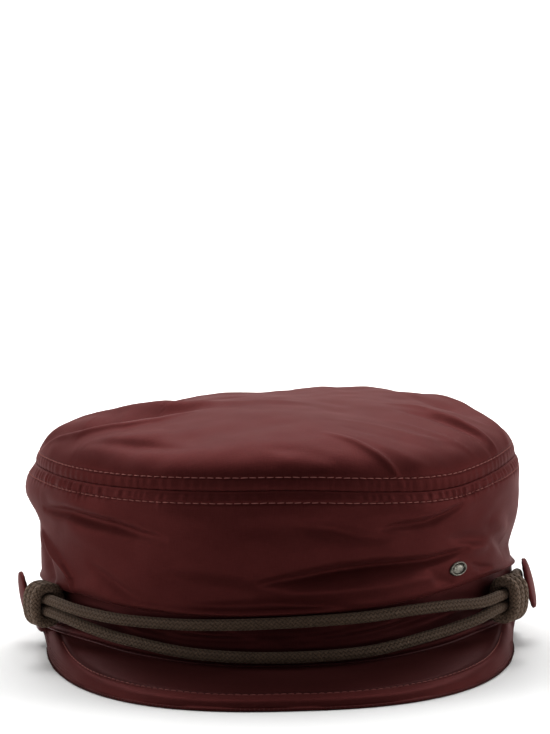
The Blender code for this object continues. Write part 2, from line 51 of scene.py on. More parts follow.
BAND_HALF_WIDTH, BAND_HALF_LENGTH, BAND_HEIGHT, BAND_WALL = 85.0, 100.0, 17.0, 2.0
BAND_ARCH = 5.3
WELT_HEIGHT, WELT_OUT = 3.0, 1.2
CROWN_HALF_WIDTH, CROWN_HALF_LENGTH = 86.8, 102.0
SEAM_HEIGHT, SEAM_DROOP = 62.2, 6.2
DOME_HEIGHT, DOME_SQUARENESS = 21.5, 2.45
CLOTH = 1.8
VISOR_LENGTH, VISOR_HALF_WIDTH, VISOR_SHIFT, VISOR_WALL = 37.0, 83.3, -0.6, 2.6
VISOR_HALF_ANGLE, VISOR_SQUARENESS, VISOR_ROLL = 86.0, 2.5, 1.7
SIDE_HEIGHT = SEAM_HEIGHT - BAND_HEIGHT
GIRTH = (BAND_HALF_WIDTH + BAND_HALF_LENGTH) / 2
PER_DEGREE = math.radians(1) * GIRTH
REST_FLATTENING = 1.0

AROUND = 720
ALL_ROUND = np.arange(AROUND) * 360.0 / AROUND - 180.0
UP = np.array([0.0, 0.0, 1.0])

# Stitches, in millimetres. The line on the side wall is a share of its height; the top's is the way up it.
STITCH_PITCH, STITCH_SHARE, STITCH_RADIUS = 2.9, 0.80, 0.17
SIDE_STITCH_UP, TOP_STITCH_UP = 0.908, 4.6
GROOVE_WIDTH = 0.55
VISOR_STITCH_PITCH, VISOR_STITCH_LENGTH = 2.5, 2.05
RIM_STITCH_PITCH, RIM_STITCH_LENGTH, RIM_STITCH_RADIUS = 1.55, 0.75, 0.28
SEAM_EDGE_RADIUS, SEAM_ROLL_RADIUS = 0.34, 1.45

rng = np.random.default_rng(11)


def place(points):
    """From the cap's own frame in millimetres to the standing cap in metres."""
    p = np.asarray(points, float) * MM
    tilt = -math.radians(REST_TILT)
    y = p[..., 1] * math.cos(tilt) - p[..., 2] * math.sin(tilt)
    z = p[..., 1] * math.sin(tilt) + p[..., 2] * math.cos(tilt)
    return np.stack([p[..., 0], y, z], -1) + np.array(CAP_PLACE)


def floor_height(y):
    tilt = math.radians(REST_TILT)
    return (y - BAND_HALF_LENGTH) * math.tan(tilt) + REST_FLATTENING / math.cos(tilt)


def smooth(value):
    value = np.clip(value, 0.0, 1.0)
    return value * value * (3.0 - 2.0 * value)


def through(rows, x, column=1):
    """Smooth curve through the rows of a table, read at x."""
    xs = np.array([row[0] for row in rows], float)
    ys = np.array([row[column] for row in rows], float)
    slopes = np.gradient(ys, xs)
    x = np.clip(x, xs[0], xs[-1])
    k = np.clip(np.searchsorted(xs, x) - 1, 0, len(xs) - 2)
    h = xs[k + 1] - xs[k]
    t = (x - xs[k]) / h
    return (
        (2 * t**3 - 3 * t**2 + 1) * ys[k]
        + (t**3 - 2 * t**2 + t) * h * slopes[k]
        + (3 * t**2 - 2 * t**3) * ys[k + 1]
        + (t**3 - t**2) * h * slopes[k + 1]
    )


def unit(v):
    return v / np.maximum(np.linalg.norm(v, axis=-1, keepdims=True), 1e-9)


def travelled(points):
    """Way covered along a line, at each of its points."""
    return np.concatenate([[0.0], np.cumsum(np.linalg.norm(np.diff(points, axis=0), axis=1))])


def read_line(values, length, at):
    return np.stack([np.interp(at, length, values[:, i]) for i in range(3)], -1)


def ellipse(around, half_width, half_length):
    a = np.radians(around)
    return half_width * np.sin(a), -half_length * np.cos(a)


def band_ring(around, wider=0.0):
    return ellipse(around, BAND_HALF_WIDTH + wider, BAND_HALF_LENGTH + wider)


def outward(around, half_width=BAND_HALF_WIDTH, half_length=BAND_HALF_LENGTH):
    a = np.radians(around)
    x, y = np.sin(a) / half_width, -np.cos(a) / half_length
    size = np.hypot(x, y)
    return x / size, y / size


def off_band(around, out):
    """Place, seen from above, that stands squarely off the band's wall by that much."""
    (x, y), (nx, ny) = band_ring(around), outward(around)
    return x + nx * out, y + ny * out


def turned_in(edge, steps):
    """Rows by which cloth turns in from its edge. Each step is (way in, rise)."""
    nx, ny = outward(ALL_ROUND)
    return [edge + np.stack([-nx * way, -ny * way, np.full(AROUND, rise)], -1) for way, rise in steps]


BAND_RISE = (
    # around, rise as a share of BAND_ARCH
    (0, 0), (12, 0.02), (22, 0.13), (30, 0.3), (40, 0.55), (50, 0.86), (60, 1), (70, 0.98), (80, 0.88),
    (92, 0.76), (120, 0.44), (150, 0.14), (180, 0),
)


def arch(around):
    return BAND_ARCH * through(BAND_RISE, np.abs(around))


SEAM_FALL = (
    # around, fall as a share of SEAM_DROOP
    (-180, 0), (-90, 0), (-75, 0.05), (-60, 0.27), (-50, 0.39), (-42, 0.46), (-30, 0.51), (-15, 0.52),
    (0, 0.52), (8, 0.6), (14, 0.71), (24, 0.87), (33, 1), (38, 1), (44, 0.94), (50, 0.76), (60, 0.45),
    (69, 0.2), (80, 0.04), (90, 0), (180, 0),
)


def seam_drop(around):
    return SEAM_DROOP * through(SEAM_FALL, around)


def noise_at(x, y, z):
    """Smooth noise between about -1 and 1."""
    x, y, z = np.broadcast_arrays(x, y, z)
    values = [noise.noise(Vector(point)) for point in zip(x.ravel(), y.ravel(), z.ravel())]
    return np.array(values).reshape(x.shape) * 1.6


def cloth_noise(a, b, size, seed):
    return noise_at(a / size, b / size, seed)


def ring_noise(around, up, length, height, seed):
    """Noise on a wall that closes on itself round the cap."""
    a, radius = np.radians(around), GIRTH / length
    return noise_at(radius * np.sin(a), radius * np.cos(a), up / height + seed)


def folds(rows, s, t):
    """Sum of folds drawn as lines over the cloth. s and t are positions in millimetres.

    Each row: height (below 0 for a crease), width, skew (how much one side stands over the other: above 0 the
    left of the line stands proud), sharpness (2 is round, 1 is a crease) and the line's points.
    """
    total = np.zeros(np.broadcast(s, t).shape)
    for height, width, skew, sharpness, line in rows:
        line = np.array(line, float)
        steps = np.linalg.norm(np.diff(line, axis=0), axis=1)
        at = travelled(line) / steps.sum()
        best = np.full(total.shape, 1e9)
        signed = np.zeros(total.shape)
        along = np.zeros(total.shape)
        for i in range(len(steps)):
            p, d = line[i], (line[i + 1] - line[i]) / steps[i]
            u = np.clip((s - p[0]) * d[0] + (t - p[1]) * d[1], 0.0, steps[i])
            ds, dt = s - p[0] - u * d[0], t - p[1] - u * d[1]
            distance = np.hypot(ds, dt)
            near = distance < best
            best = np.where(near, distance, best)
            signed = np.where(near, dt * d[0] - ds * d[1], signed)
            along = np.where(near, at[i] + u / steps[i] * (at[i + 1] - at[i]), along)
        taper = np.sin(np.pi * np.clip(0.04 + 0.92 * along, 0, 1)) ** 0.8
        wide = width * (0.45 + 0.55 * taper)
        body = np.exp(-((best / wide) ** sharpness))
        total += taper * (height * body + skew * (signed / wide) * np.exp(-((best / wide) ** 2)))
    return total


def normals(grid, closed=True):
    """Unit normals of a grid of points: rows go up or out, columns go round."""
    if closed:
        across = np.roll(grid, -1, axis=1) - np.roll(grid, 1, axis=1)
    else:
        across = np.gradient(grid, axis=1)
    return unit(np.cross(across, np.gradient(grid, axis=0)))


def mesh_object(name, points, faces, uvs=None, material=None, world=True):
    data = bpy.data.meshes.new(name)
    points = np.reshape(points, (-1, 3))
    data.from_pydata((place(points) if world else points).tolist(), [], faces)
    if uvs is not None:
        layer = data.uv_layers.new(name="UVMap")
        index = np.empty(len(data.loops), np.int32)
        data.loops.foreach_get("vertex_index", index)
        layer.data.foreach_set("uv", np.reshape(uvs, (-1, 2)).astype(np.float32)[index].ravel())
    data.shade_smooth()
    data.validate()
    obj = bpy.data.objects.new(name, data)
    bpy.context.scene.collection.objects.link(obj)
    if material is not None:
        data.materials.append(material)
    return obj


def second_material(obj, material, chosen):
    """Gives a second material to the faces that are chosen by their corners."""
    obj.data.materials.append(material)
    for polygon in obj.data.polygons:
        if chosen(polygon.vertices):
            polygon.material_index = 1


def grid_faces(rows, cols, wrap_cols, wrap_rows=False, start=0):
    faces = []
    for r in range(rows if wrap_rows else rows - 1):
        low, high = start + r * cols, start + ((r + 1) % rows) * cols
        for c in range(cols if wrap_cols else cols - 1):
            d = (c + 1) % cols
            faces.append((low + c, low + d, high + d, high + c))
    return faces


def wall_uv(heights):
    """UV of rows that go round the cap: millimetres round it and up it."""
    return np.stack(np.meshgrid(np.radians(ALL_ROUND) * GIRTH, heights), -1)


def grid_object(name, grid, uv, material, wrap_rows=False):
    faces = grid_faces(*grid.shape[:2], True, wrap_rows)
    return mesh_object(name, grid, faces, uv, material)


class Skin:
    """A finished surface of cloth that stitches are put on, read between its rows and angles."""

    def __init__(self, grid, heights):
        self.grid, self.heights, self.normal = grid, heights, normals(grid)

    def at(self, around, up):
        row = np.interp(up, self.heights, np.arange(len(self.heights)))
        turn = (np.asarray(around) - ALL_ROUND[0]) % 360.0 / 360.0 * AROUND
        r0 = np.clip(np.floor(row).astype(int), 0, len(self.heights) - 2)
        c0 = np.floor(turn).astype(int) % AROUND
        c1 = (c0 + 1) % AROUND
        fr, fc = (row - r0)[..., None], (turn - np.floor(turn))[..., None]
        out = []
        for values in (self.grid, self.normal):
            low = values[r0, c0] * (1 - fc) + values[r0, c1] * fc
            high = values[r0 + 1, c0] * (1 - fc) + values[r0 + 1, c1] * fc
            out.append(low * (1 - fr) + high * fr)
        return out[0], unit(out[1])


# Materials

def node_tree(name):
    made = bpy.data.materials.new(name)
    made.use_nodes = True
    nodes, links = made.node_tree.nodes, made.node_tree.links
    return made, nodes, links, nodes["Principled BSDF"]


def set_inputs(node, values):
    for name, value in values.items():
        node.inputs[name].default_value = value


def math_node(nodes, links, operation, a, b=None, clamp=False):
    node = nodes.new("ShaderNodeMath")
    node.operation = operation
    node.use_clamp = clamp
    for socket, value in zip(node.inputs, (a, b)):
        if value is None:
            continue
        if isinstance(value, (int, float)):
            socket.default_value = value
        else:
            links.new(value, socket)
    return node.outputs[0]


def mix_colour(nodes, links, share, first, second):
    node = nodes.new("ShaderNodeMix")
    node.data_type = "RGBA"
    links.new(share, node.inputs["Factor"])
    for socket, value in ((node.inputs["A"], first), (node.inputs["B"], second)):
        if isinstance(value, tuple):
            socket.default_value = (*value, 1.0)
        else:
            links.new(value, socket)
    return node.outputs["Result"]


def noise_node(nodes, links, vector, scale, detail=3.0):
    node = nodes.new("ShaderNodeTexNoise")
    links.new(vector, node.inputs["Vector"])
    set_inputs(node, {"Scale": scale, "Detail": detail, "Roughness": 0.55})
    return node.outputs["Fac"]


def stretch(nodes, links, vector, scale):
    node = nodes.new("ShaderNodeMapping")
    links.new(vector, node.inputs["Vector"])
    node.inputs["Scale"].default_value = scale
    return node.outputs["Vector"]


def add_bump(nodes, links, shader, height, strength, distance):
    bump = nodes.new("ShaderNodeBump")
    set_inputs(bump, {"Strength": strength, "Distance": distance})
    links.new(height, bump.inputs["Height"])
    links.new(bump.outputs["Normal"], shader.inputs["Normal"])


def cloth_material(name, dark, light, gloss=0.06):
    """Fine satin-like weave: two runs of thread, a little unevenness of colour, and a soft sheen."""
    made, nodes, links, shader = node_tree(name)
    calc = partial(math_node, nodes, links)
    uv = nodes.new("ShaderNodeTexCoord").outputs["UV"]
    warp = noise_node(nodes, links, stretch(nodes, links, uv, (2.6, 0.35, 1.0)), 1.0, 2.0)
    weft = noise_node(nodes, links, stretch(nodes, links, uv, (0.30, 2.9, 1.0)), 1.0, 2.0)
    patches = noise_node(nodes, links, uv, 0.055, 4.0)
    weave = calc("MULTIPLY", calc("ADD", warp, weft), 0.5)
    share = calc("MULTIPLY_ADD", weave, 0.9)
    share.node.inputs[2].default_value = -0.2
    blend = calc("ADD", share, calc("MULTIPLY", patches, 0.45), clamp=True)
    links.new(mix_colour(nodes, links, blend, dark, light), shader.inputs["Base Color"])
    add_bump(nodes, links, shader, weave, 0.35, 0.00022)
    set_inputs(shader, {
        "Roughness": 0.52, "Metallic": 0.45,
        "Specular IOR Level": gloss, "Specular Tint": (0.42, 0.145, 0.135, 1.0),
        "Sheen Weight": 0.12, "Sheen Roughness": 0.38, "Sheen Tint": (0.60, 0.15, 0.14, 1.0),
    })
    return made


def braid_material(name, dark, light, strands):
    """Braided cord: two families of yarn that cross. UV is (length in yarns, share of a turn)."""
    made, nodes, links, shader = node_tree(name)
    calc = partial(math_node, nodes, links)
    uv = nodes.new("ShaderNodeTexCoord").outputs["UV"]
    split = nodes.new("ShaderNodeSeparateXYZ")
    links.new(uv, split.inputs["Vector"])
    length, turn = split.outputs["X"], split.outputs["Y"]
    around = calc("MULTIPLY", turn, float(strands))
    profiles, cells = [], []
    for value in (calc("ADD", length, around), calc("SUBTRACT", length, around)):
        part = calc("FRACT", value)
        cells.append(calc("SUBTRACT", value, part))
        centred = calc("SUBTRACT", part, 0.5)
        squared = calc("MULTIPLY", centred, centred)
        profiles.append(calc("SUBTRACT", 1.0, calc("MULTIPLY", squared, 4.0)))
    over = calc("GREATER_THAN", calc("PINGPONG", calc("ADD", *cells), 1.0), 0.5)
    one = calc("MULTIPLY", profiles[0], over)
    two = calc("MULTIPLY", profiles[1], calc("SUBTRACT", 1.0, over))
    height = calc("POWER", calc("MAXIMUM", calc("ADD", one, two), 0.0), 0.6)
    grain = noise_node(nodes, links, uv, 2.2, 3.0)
    # Yarn crowns take the light colour and the gaps between yarns the dark one: painted shade in the gaps,
    # with the grain noise as random tone.
    share = calc("MULTIPLY", height, calc("ADD", grain, 0.35), clamp=True)
    links.new(mix_colour(nodes, links, share, dark, light), shader.inputs["Base Color"])
    add_bump(nodes, links, shader, height, 0.8, 0.0004)
    set_inputs(shader, {
        "Roughness": 0.8, "Specular IOR Level": 0.12,
        "Sheen Weight": 0.06, "Sheen Tint": (0.8, 0.65, 0.5, 1.0),
    })
    return made


def plain_material(name, colour, roughness, metallic=0.0, grain=0.0, scale=900.0, relief=0.0):
    made, nodes, links, shader = node_tree(name)
    set_inputs(shader, {"Roughness": roughness, "Metallic": metallic})
    if metallic == 0.0:
        set_inputs(shader, {"Specular IOR Level": 0.1})
    where = nodes.new("ShaderNodeTexCoord").outputs["Object"]
    speckle = noise_node(nodes, links, where, scale, 3.0)
    darker = tuple(c * (1.0 - grain) for c in colour)
    links.new(mix_colour(nodes, links, speckle, darker, colour), shader.inputs["Base Color"])
    if relief:
        add_bump(nodes, links, shader, speckle, relief, 0.0004)
    return made


CLOTH_DARK, CLOTH_LIGHT = (0.040, 0.0072, 0.0068), (0.086, 0.0185, 0.0175)
side_cloth = cloth_material("crown_side_cloth", CLOTH_DARK, CLOTH_LIGHT)
# Painted shade: the top's cloth is a slightly darker copy of the side's cloth.
top_painted_shade_cloth = cloth_material("crown_top_cloth", (0.037, 0.0068, 0.0064), (0.079, 0.0170, 0.0160), gloss=0.045)
# Painted shade: the band's cloth is a darker copy of the crown's cloth, for the shade under the crown's
# overhang and the cord.
band_painted_shade_cloth = cloth_material("band_painted_shade_cloth", (0.025, 0.0050, 0.0050), (0.054, 0.0122, 0.0120))
# Painted shade: the visor's cloth is a much darker copy of the crown's cloth.
visor_painted_shade_cloth = cloth_material("visor_painted_shade_cloth", (0.018, 0.0036, 0.0035), (0.038, 0.0088, 0.0085))
# Painted highlight: the visor's hem and rim take a lighter copy of the visor's cloth.
hem_painted_light_cloth = cloth_material("hem_painted_light_cloth", (0.033, 0.0062, 0.0059), (0.070, 0.0155, 0.0146))
# Painted highlight: the buttons' cloth is a slightly lighter copy of the crown's cloth.
button_painted_light_cloth = cloth_material("button_painted_light_cloth", CLOTH_DARK, (0.092, 0.021, 0.021))
lining = plain_material("lining", (0.025, 0.008, 0.009), 0.8, grain=0.3)
thread = plain_material("thread", (0.28, 0.098, 0.086), 0.8, grain=0.25, scale=2500.0)
rim_thread = plain_material("rim_thread", (0.060, 0.017, 0.016), 0.7, grain=0.3, scale=2500.0)
# Painted highlight: the visor's seam edge and its rolled ends are coloured lighter than the band and visor
# around them.
edge_painted_highlight_cloth = plain_material("edge_painted_highlight_cloth", (0.085, 0.024, 0.024), 0.5, grain=0.2, scale=1500.0)
cord_braid = braid_material("cord_braid", (0.0080, 0.0046, 0.0031), (0.100, 0.062, 0.041), 8)
# Painted highlight: the coils take a lighter copy of the cord's braid, for the side light that they catch.
coil_painted_light_braid = braid_material("coil_painted_light_braid", (0.0140, 0.0082, 0.0056), (0.165, 0.108, 0.075), 8)
metal = plain_material("stud_metal", (0.24, 0.225, 0.19), 0.36, 1.0, 0.75, 800.0, relief=1.0)
# Painted shade: the groove inside the stud's rim takes a darker copy of the stud's metal.
recess_painted_shade_metal = plain_material("stud_recess_painted_shade", (0.05, 0.046, 0.038), 0.5, 1.0, 0.4, 1100.0, relief=0.5)


# Crown's side wall

SIDE_PROFILE = (
    # up, out
    (0, 0.3), (0.02, 1.7), (0.05, 2.4), (0.1, 2.5), (0.2, 2.1), (0.36, 1.9), (0.54, 1.9), (0.7, 2),
    (0.82, 2), (0.9, 1.6), (0.96, 1), (1, 0.3),
)


# How far the soft wall's lower edge hangs over the band, or stops short of it, round the cap.
LAP = (
    # around, rise
    (-180, -0.6), (-120, -1), (-90, -1.2), (-60, -1.7), (-20, -1.6), (5, -0.5), (20, 0.5), (50, 0.9),
    (90, 0.3), (130, -0.4), (180, -0.6),
)


def wall_point(around, up):
    half_width = BAND_HALF_WIDTH + up * (CROWN_HALF_WIDTH - BAND_HALF_WIDTH)
    half_length = BAND_HALF_LENGTH + up * (CROWN_HALF_LENGTH - BAND_HALF_LENGTH)
    x, y = ellipse(around, half_width, half_length)
    nx, ny = outward(around, half_width, half_length)
    out = through(SIDE_PROFILE, up)
    at_side = smooth((np.abs(around) - 55.0) / 30.0) * smooth((0.56 - up) / 0.30) * smooth(up / 0.08)
    out = out - at_side * np.where(around < 0, 1.6, 2.6)
    low = BAND_HEIGHT + arch(around) + through(LAP, around)
    high = SEAM_HEIGHT - seam_drop(around)
    return np.stack([x + nx * out, y + ny * out, low + up * (high - low)], -1)


# Folds of the side wall. The lines' points are (degrees from the front, share of the wall's height).
SIDE_FOLDS = (
    # height, width, skew, sharpness, line
    (-3, 2.7, 2.3, 1.6, ((-70, 0.69), (-58, 0.73), (-50, 0.71), (-42.5, 0.7), (-35, 0.655), (-28, 0.625))),
    (0.9, 3.2, 0, 2, ((-66, 0.783), (-54, 0.805), (-44, 0.756), (-34, 0.731))),
    (0.6, 5, 0, 2, ((-60, 0.52), (-48, 0.538), (-38, 0.499))),
    (2.4, 2, -1.8, 1.5, ((-75, 0.48), (-66, 0.33), (-60.5, 0.235), (-57.2, 0.14), (-56.5, 0))),
    (-2.6, 4, 0, 2, ((-86, 0.434), (-76, 0.254), (-69, 0.093), (-67, 0))),
    (1.6, 2.6, 0, 2, ((-70, 0.02), (-63, 0), (-56, 0.02))),
    (2.3, 7.5, 0, 2, ((-108, 0.76), (-90, 0.77), (-72, 0.76))),
    (-1.9, 6.5, 0, 2, ((-100, 0.506), (-84, 0.527), (-76, 0.488))),
    (-2.2, 2.1, 1.5, 1.6, ((21, 0.69), (25, 0.71), (29, 0.715), (34, 0.735), (40, 0.8), (43, 0.83))),
    (0.45, 4, 0, 2, ((20, 0.799), (30, 0.795), (40, 0.822))),
    (-3.8, 2.6, 2.8, 1.8,
     ((-6, 0.29), (4, 0.335), (11, 0.365), (18, 0.375), (25, 0.37), (33, 0.36), (39, 0.37), (45, 0.385))),
    (2.6, 3.4, 0, 2, ((0, 0.19), (8, 0.2), (18, 0.2), (28, 0.2), (35, 0.18))),
    (-1.6, 2.4, 0, 2, ((-22, 0.0923), (-3.2, 0.11), (8, 0.0595), (16, 0.02))),
    (-1.4, 4.5, 1, 2, ((-30, 0.34), (-22, 0.3), (-12, 0.26), (-4, 0.21))),
    (2.2, 11, 0, 2, ((-36, 0.6), (-20, 0.58), (-6, 0.56), (8, 0.56))),
    (-1.4, 8, 2.6, 2, ((-44, 0.16), (-30, 0.15), (-16, 0.15), (-2, 0.14), (8, 0.1))),
    (-1.2, 3, 0.8, 2, ((2, 0.74), (10, 0.7), (17, 0.63), (22, 0.6))),
    (-1.2, 2.4, 0.5, 2, ((33.5, 0.236), (36.5, 0.157), (41, 0.0846))),
    (-1.3, 2.8, 0, 2, ((39.5, 0.529), (46, 0.466), (52.5, 0.393))),
    (1, 3, 0, 2, ((41, 0.39), (47, 0.357), (54, 0.305))),
    (-0.9, 1.6, 0.4, 1.6, ((46.5, 0.219), (50.5, 0.145), (56, 0.0971))),
    (0.9, 4, 0, 2, ((54, 0.566), (60, 0.476), (66, 0.426))),
    (-2, 3.6, 0.4, 2, ((57, 0.369), (65, 0.241), (76, 0.222))),
    (-0.8, 4.2, 0, 2, ((68, 0.17), (80, 0.2), (96, 0.2))),
    (-0.7, 6.5, 0, 2, ((70, 0.784), (84, 0.779), (100, 0.815))),
    (-1, 2.2, 0.4, 1.8, ((-50, 0.307), (-42, 0.198), (-36, 0.106))),
    (0.6, 5, 0, 2, ((-52, 0.133), (-44, 0.0654), (-34, 0.0691))),
    (-1.6, 3, 0.8, 1.7, ((104, 0.611), (120, 0.494), (140, 0.457))),
    (1.3, 4.5, 0, 2, ((108, 0.347), (124, 0.292), (144, 0.296))),
    (-1.8, 3.4, 0.6, 1.8, ((148, 0.297), (164, 0.357), (184, 0.319), (200, 0.377))),
    (1.2, 5, 0, 2, ((150, 0.518), (170, 0.538), (192, 0.498))),
    (-1.5, 3, -0.6, 1.8, ((206, 0.558), (222, 0.497), (240, 0.555))),
    (1.2, 4.5, 0, 2, ((210, 0.298), (228, 0.254), (246, 0.289))),
    (-1.2, 3.2, 0.4, 1.8, ((236, 0.292), (250, 0.348), (264, 0.297))),
    (-1, 2.4, 0.3, 1.8, ((160, 0.136), (178, 0.0991), (196, 0.126))),
)


def to_cloth(rows, sideways, upward):
    """Turns the lines' points of a table of folds into millimetres over the cloth."""
    return [(*row[:4], [(p[0] * sideways, p[1] * upward) for p in row[4]]) for row in rows]


def puckers(around, up):
    """Small pleats that the two rows of stitches draw up beside the seam."""
    s = math.tau * np.radians(around) * GIRTH
    drawn = 0.10 + 0.30 * np.exp(-(((around + 57) / 14) ** 2)) + 0.24 * np.exp(-(((around - 47) / 15) ** 2))
    drawn = drawn + 0.16 * smooth((np.abs(around) - 95) / 20)
    bend = 3.0 * np.interp(around, PLEAT_AT, PLEAT_BEND)
    pleat = np.cos(s / PLEAT_PITCH + bend) + 0.55 * np.cos(s / SMALL_PLEAT_PITCH + 1.7 * bend)
    start = 0.80 + 0.08 * np.interp(around, PLEAT_AT, np.abs(PLEAT_BEND))
    return drawn * pleat * smooth((up - start) / 0.10) * smooth((1.0 - up) / 0.035)


PLEAT_PITCH, SMALL_PLEAT_PITCH = 3.9, 2.45
PLEAT_AT = np.linspace(-180, 180, 121)
PLEAT_BEND = rng.uniform(-1.0, 1.0, 121)
PLEAT_BEND[-1] = PLEAT_BEND[0]


def add_crown_side():
    lowest, middle = np.linspace(0, 0.08, 10)[:-1], np.linspace(0.08, 0.84, 62)[:-1]
    up = np.concatenate([lowest, middle, np.linspace(0.84, 1, 26)])
    a, u = np.meshgrid(ALL_ROUND, up)
    grid = wall_point(a, u)
    out = normals(grid)
    rows = to_cloth(SIDE_FOLDS, PER_DEGREE, SIDE_HEIGHT)
    wide = math.tau * GIRTH
    s, t = np.radians(a) * GIRTH, u * SIDE_HEIGHT
    height = folds(rows, s, t) + folds(rows, s + wide, t) + folds(rows, s - wide, t)
    height += 0.45 * ring_noise(a, t, 34.0, 13.0, 3.1) + 0.16 * ring_noise(a, t, 11.0, 6.0, 9.4)
    height *= smooth((1.0 - u) / 0.10) * (0.35 + 0.65 * smooth(u / 0.10))
    height += puckers(a, u)
    for line, depth in ((SIDE_STITCH_UP, 0.34), (0.985, 0.12)):
        height -= depth * np.exp(-(((u - line) * SIDE_HEIGHT / GROOVE_WIDTH) ** 2))
    back_seam = np.abs(np.abs(a) - 180.0) * PER_DEGREE
    height -= 0.7 * np.exp(-((back_seam / 0.7) ** 2)) - 0.35 * np.exp(-(((back_seam - 2.2) / 1.4) ** 2))
    grid = grid + out * height[..., None]
    skin = Skin(grid, up)
    # The cloth turns in at the seam above and under at the band below.
    top = turned_in(grid[-1], ((0.35, 0.02), (0.9, -0.25), (1.6, -1.2)))
    low = turned_in(grid[0], ((1.0, -0.25), (1.9, -0.1)))
    inner_up = np.linspace(1.0, 0.0, 14)
    inner_rows = [int(np.argmin(np.abs(up - value))) for value in inner_up]
    inner = grid[inner_rows] - out[inner_rows] * CLOTH
    inner[0] -= 1.3 * UP
    whole = np.concatenate([np.stack(low[::-1]), grid, np.stack(top), inner])
    v = np.concatenate([[-2.0, -1.0], up * SIDE_HEIGHT, [46.0, 47.0, 48.0], inner_up * SIDE_HEIGHT])
    obj = grid_object("crown_side_look", whole, wall_uv(v), side_cloth, wrap_rows=True)
    first_inner = (len(low) + len(up) + len(top)) * AROUND
    second_material(obj, lining, lambda corners: min(corners) >= first_inner)
    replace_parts(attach(obj, "root"), "crown_side")
    return skin


# Crown's top

# Folds of the top. The lines' points are millimetres to the right of the crown's middle and back from it.
TOP_FOLDS = (
    # height, width, skew, sharpness, line
    (1.5, 2.6, 0.6, 1.6, ((-86, -14), (-69.4, -38), (-53.9, -46), (-41.5, -46.5), (-30, -40))),
    (-5, 9, -0.5, 2, ((-88, 6), (-74, -12), (-60, -22), (-42, -28), (-26, -28))),
    (2.2, 5, 0.8, 1.8, ((-74, 14), (-56, -2), (-37, -18), (-18, -27), (8, -28))),
    (-1.6, 6, 0, 2, ((-52, 22), (-30, 6), (-6, -2))),
    (-1, 8, 0, 2, ((-40, -74), (-18, -72), (0, -66))),
    (1.2, 6, 0, 2, ((-70, -50), (-56, -60), (-38, -64))),
    (-0.9, 3, 0.4, 2, ((-66, -52), (-50, -68), (-34, -80))),
    (0.9, 2, -0.6, 1.4, ((14, -77), (23, -81), (31, -86), (37, -90), (42, -94))),
    (-0.5, 4, 0, 2, ((16, -96), (6, -92), (-6, -90))),
    (0.4, 2.8, -0.2, 1.7, ((16, -58), (30, -60), (46, -64), (60, -60))),
    (-0.3, 3, 0, 2, ((20, -68), (34, -72), (50, -72))),
    (0.3, 3.2, -0.2, 1.8, ((18, -76), (32, -80), (44, -82), (54, -80))),
    (-1.6, 3.6, 0, 2, ((44, -34), (56, -38), (68, -46), (74, -52))),
    (1.4, 2.6, -0.6, 1.6, ((40, -22), (54, -28), (66, -38), (76, -46))),
    (0.5, 2.6, -0.3, 1.7, ((38, -50), (52, -56), (66, -60))),
    (1.6, 4, 0.6, 1.8, ((56, 22), (68, 8), (76, -10), (82, -32))),
    (-1.6, 5, 0, 2, ((50, 6), (62, -6), (72, -22))),
    (-0.5, 7, 0.2, 2, ((10, -30), (26, -44), (38, -52))),
    (0.6, 9, 0, 2, ((-12, -48), (8, -56), (26, -66))),
    (-1.5, 6, 0.5, 2, ((-20, 76), (-4, 50), (8, 24))),
    (1.4, 6, 0, 2, ((-44, 66), (-24, 44), (-8, 24))),
    (-1.4, 5, 0, 2, ((26, 78), (28, 54), (24, 28))),
    (1.2, 6, 0, 2, ((52, 56), (42, 38), (28, 18))),
    (-1.3, 4, 0.4, 1.8, ((-70, 40), (-52, 36), (-34, 24))),
)
TOP_SETTLING = (
    # x, y, half_length, half_width, slant, height
    (-52, 36, 30, 26, 10, -3.1),
    (24, 34, 40, 12, 24, 1.4),
    (53, 17, 31, 18, -20, 2.2),
    (79, 18, 42, 12, 90, -1.5),
    (-80, 8, 30, 10, 90, 1.2),
    (-5, -20, 50, 40, 0, 0.6),
)


def top_point(around, rise):
    quarter = rise * np.pi / 2
    share = np.maximum(np.cos(quarter), 0.0) ** (2 / DOME_SQUARENESS)
    height = DOME_HEIGHT * np.sin(quarter) ** (2 / DOME_SQUARENESS)
    x, y = ellipse(around, CROWN_HALF_WIDTH, CROWN_HALF_LENGTH)
    seam = SEAM_HEIGHT - (1.0 - rise) * seam_drop(around)
    return np.stack([x * share, y * share, seam + height], -1)


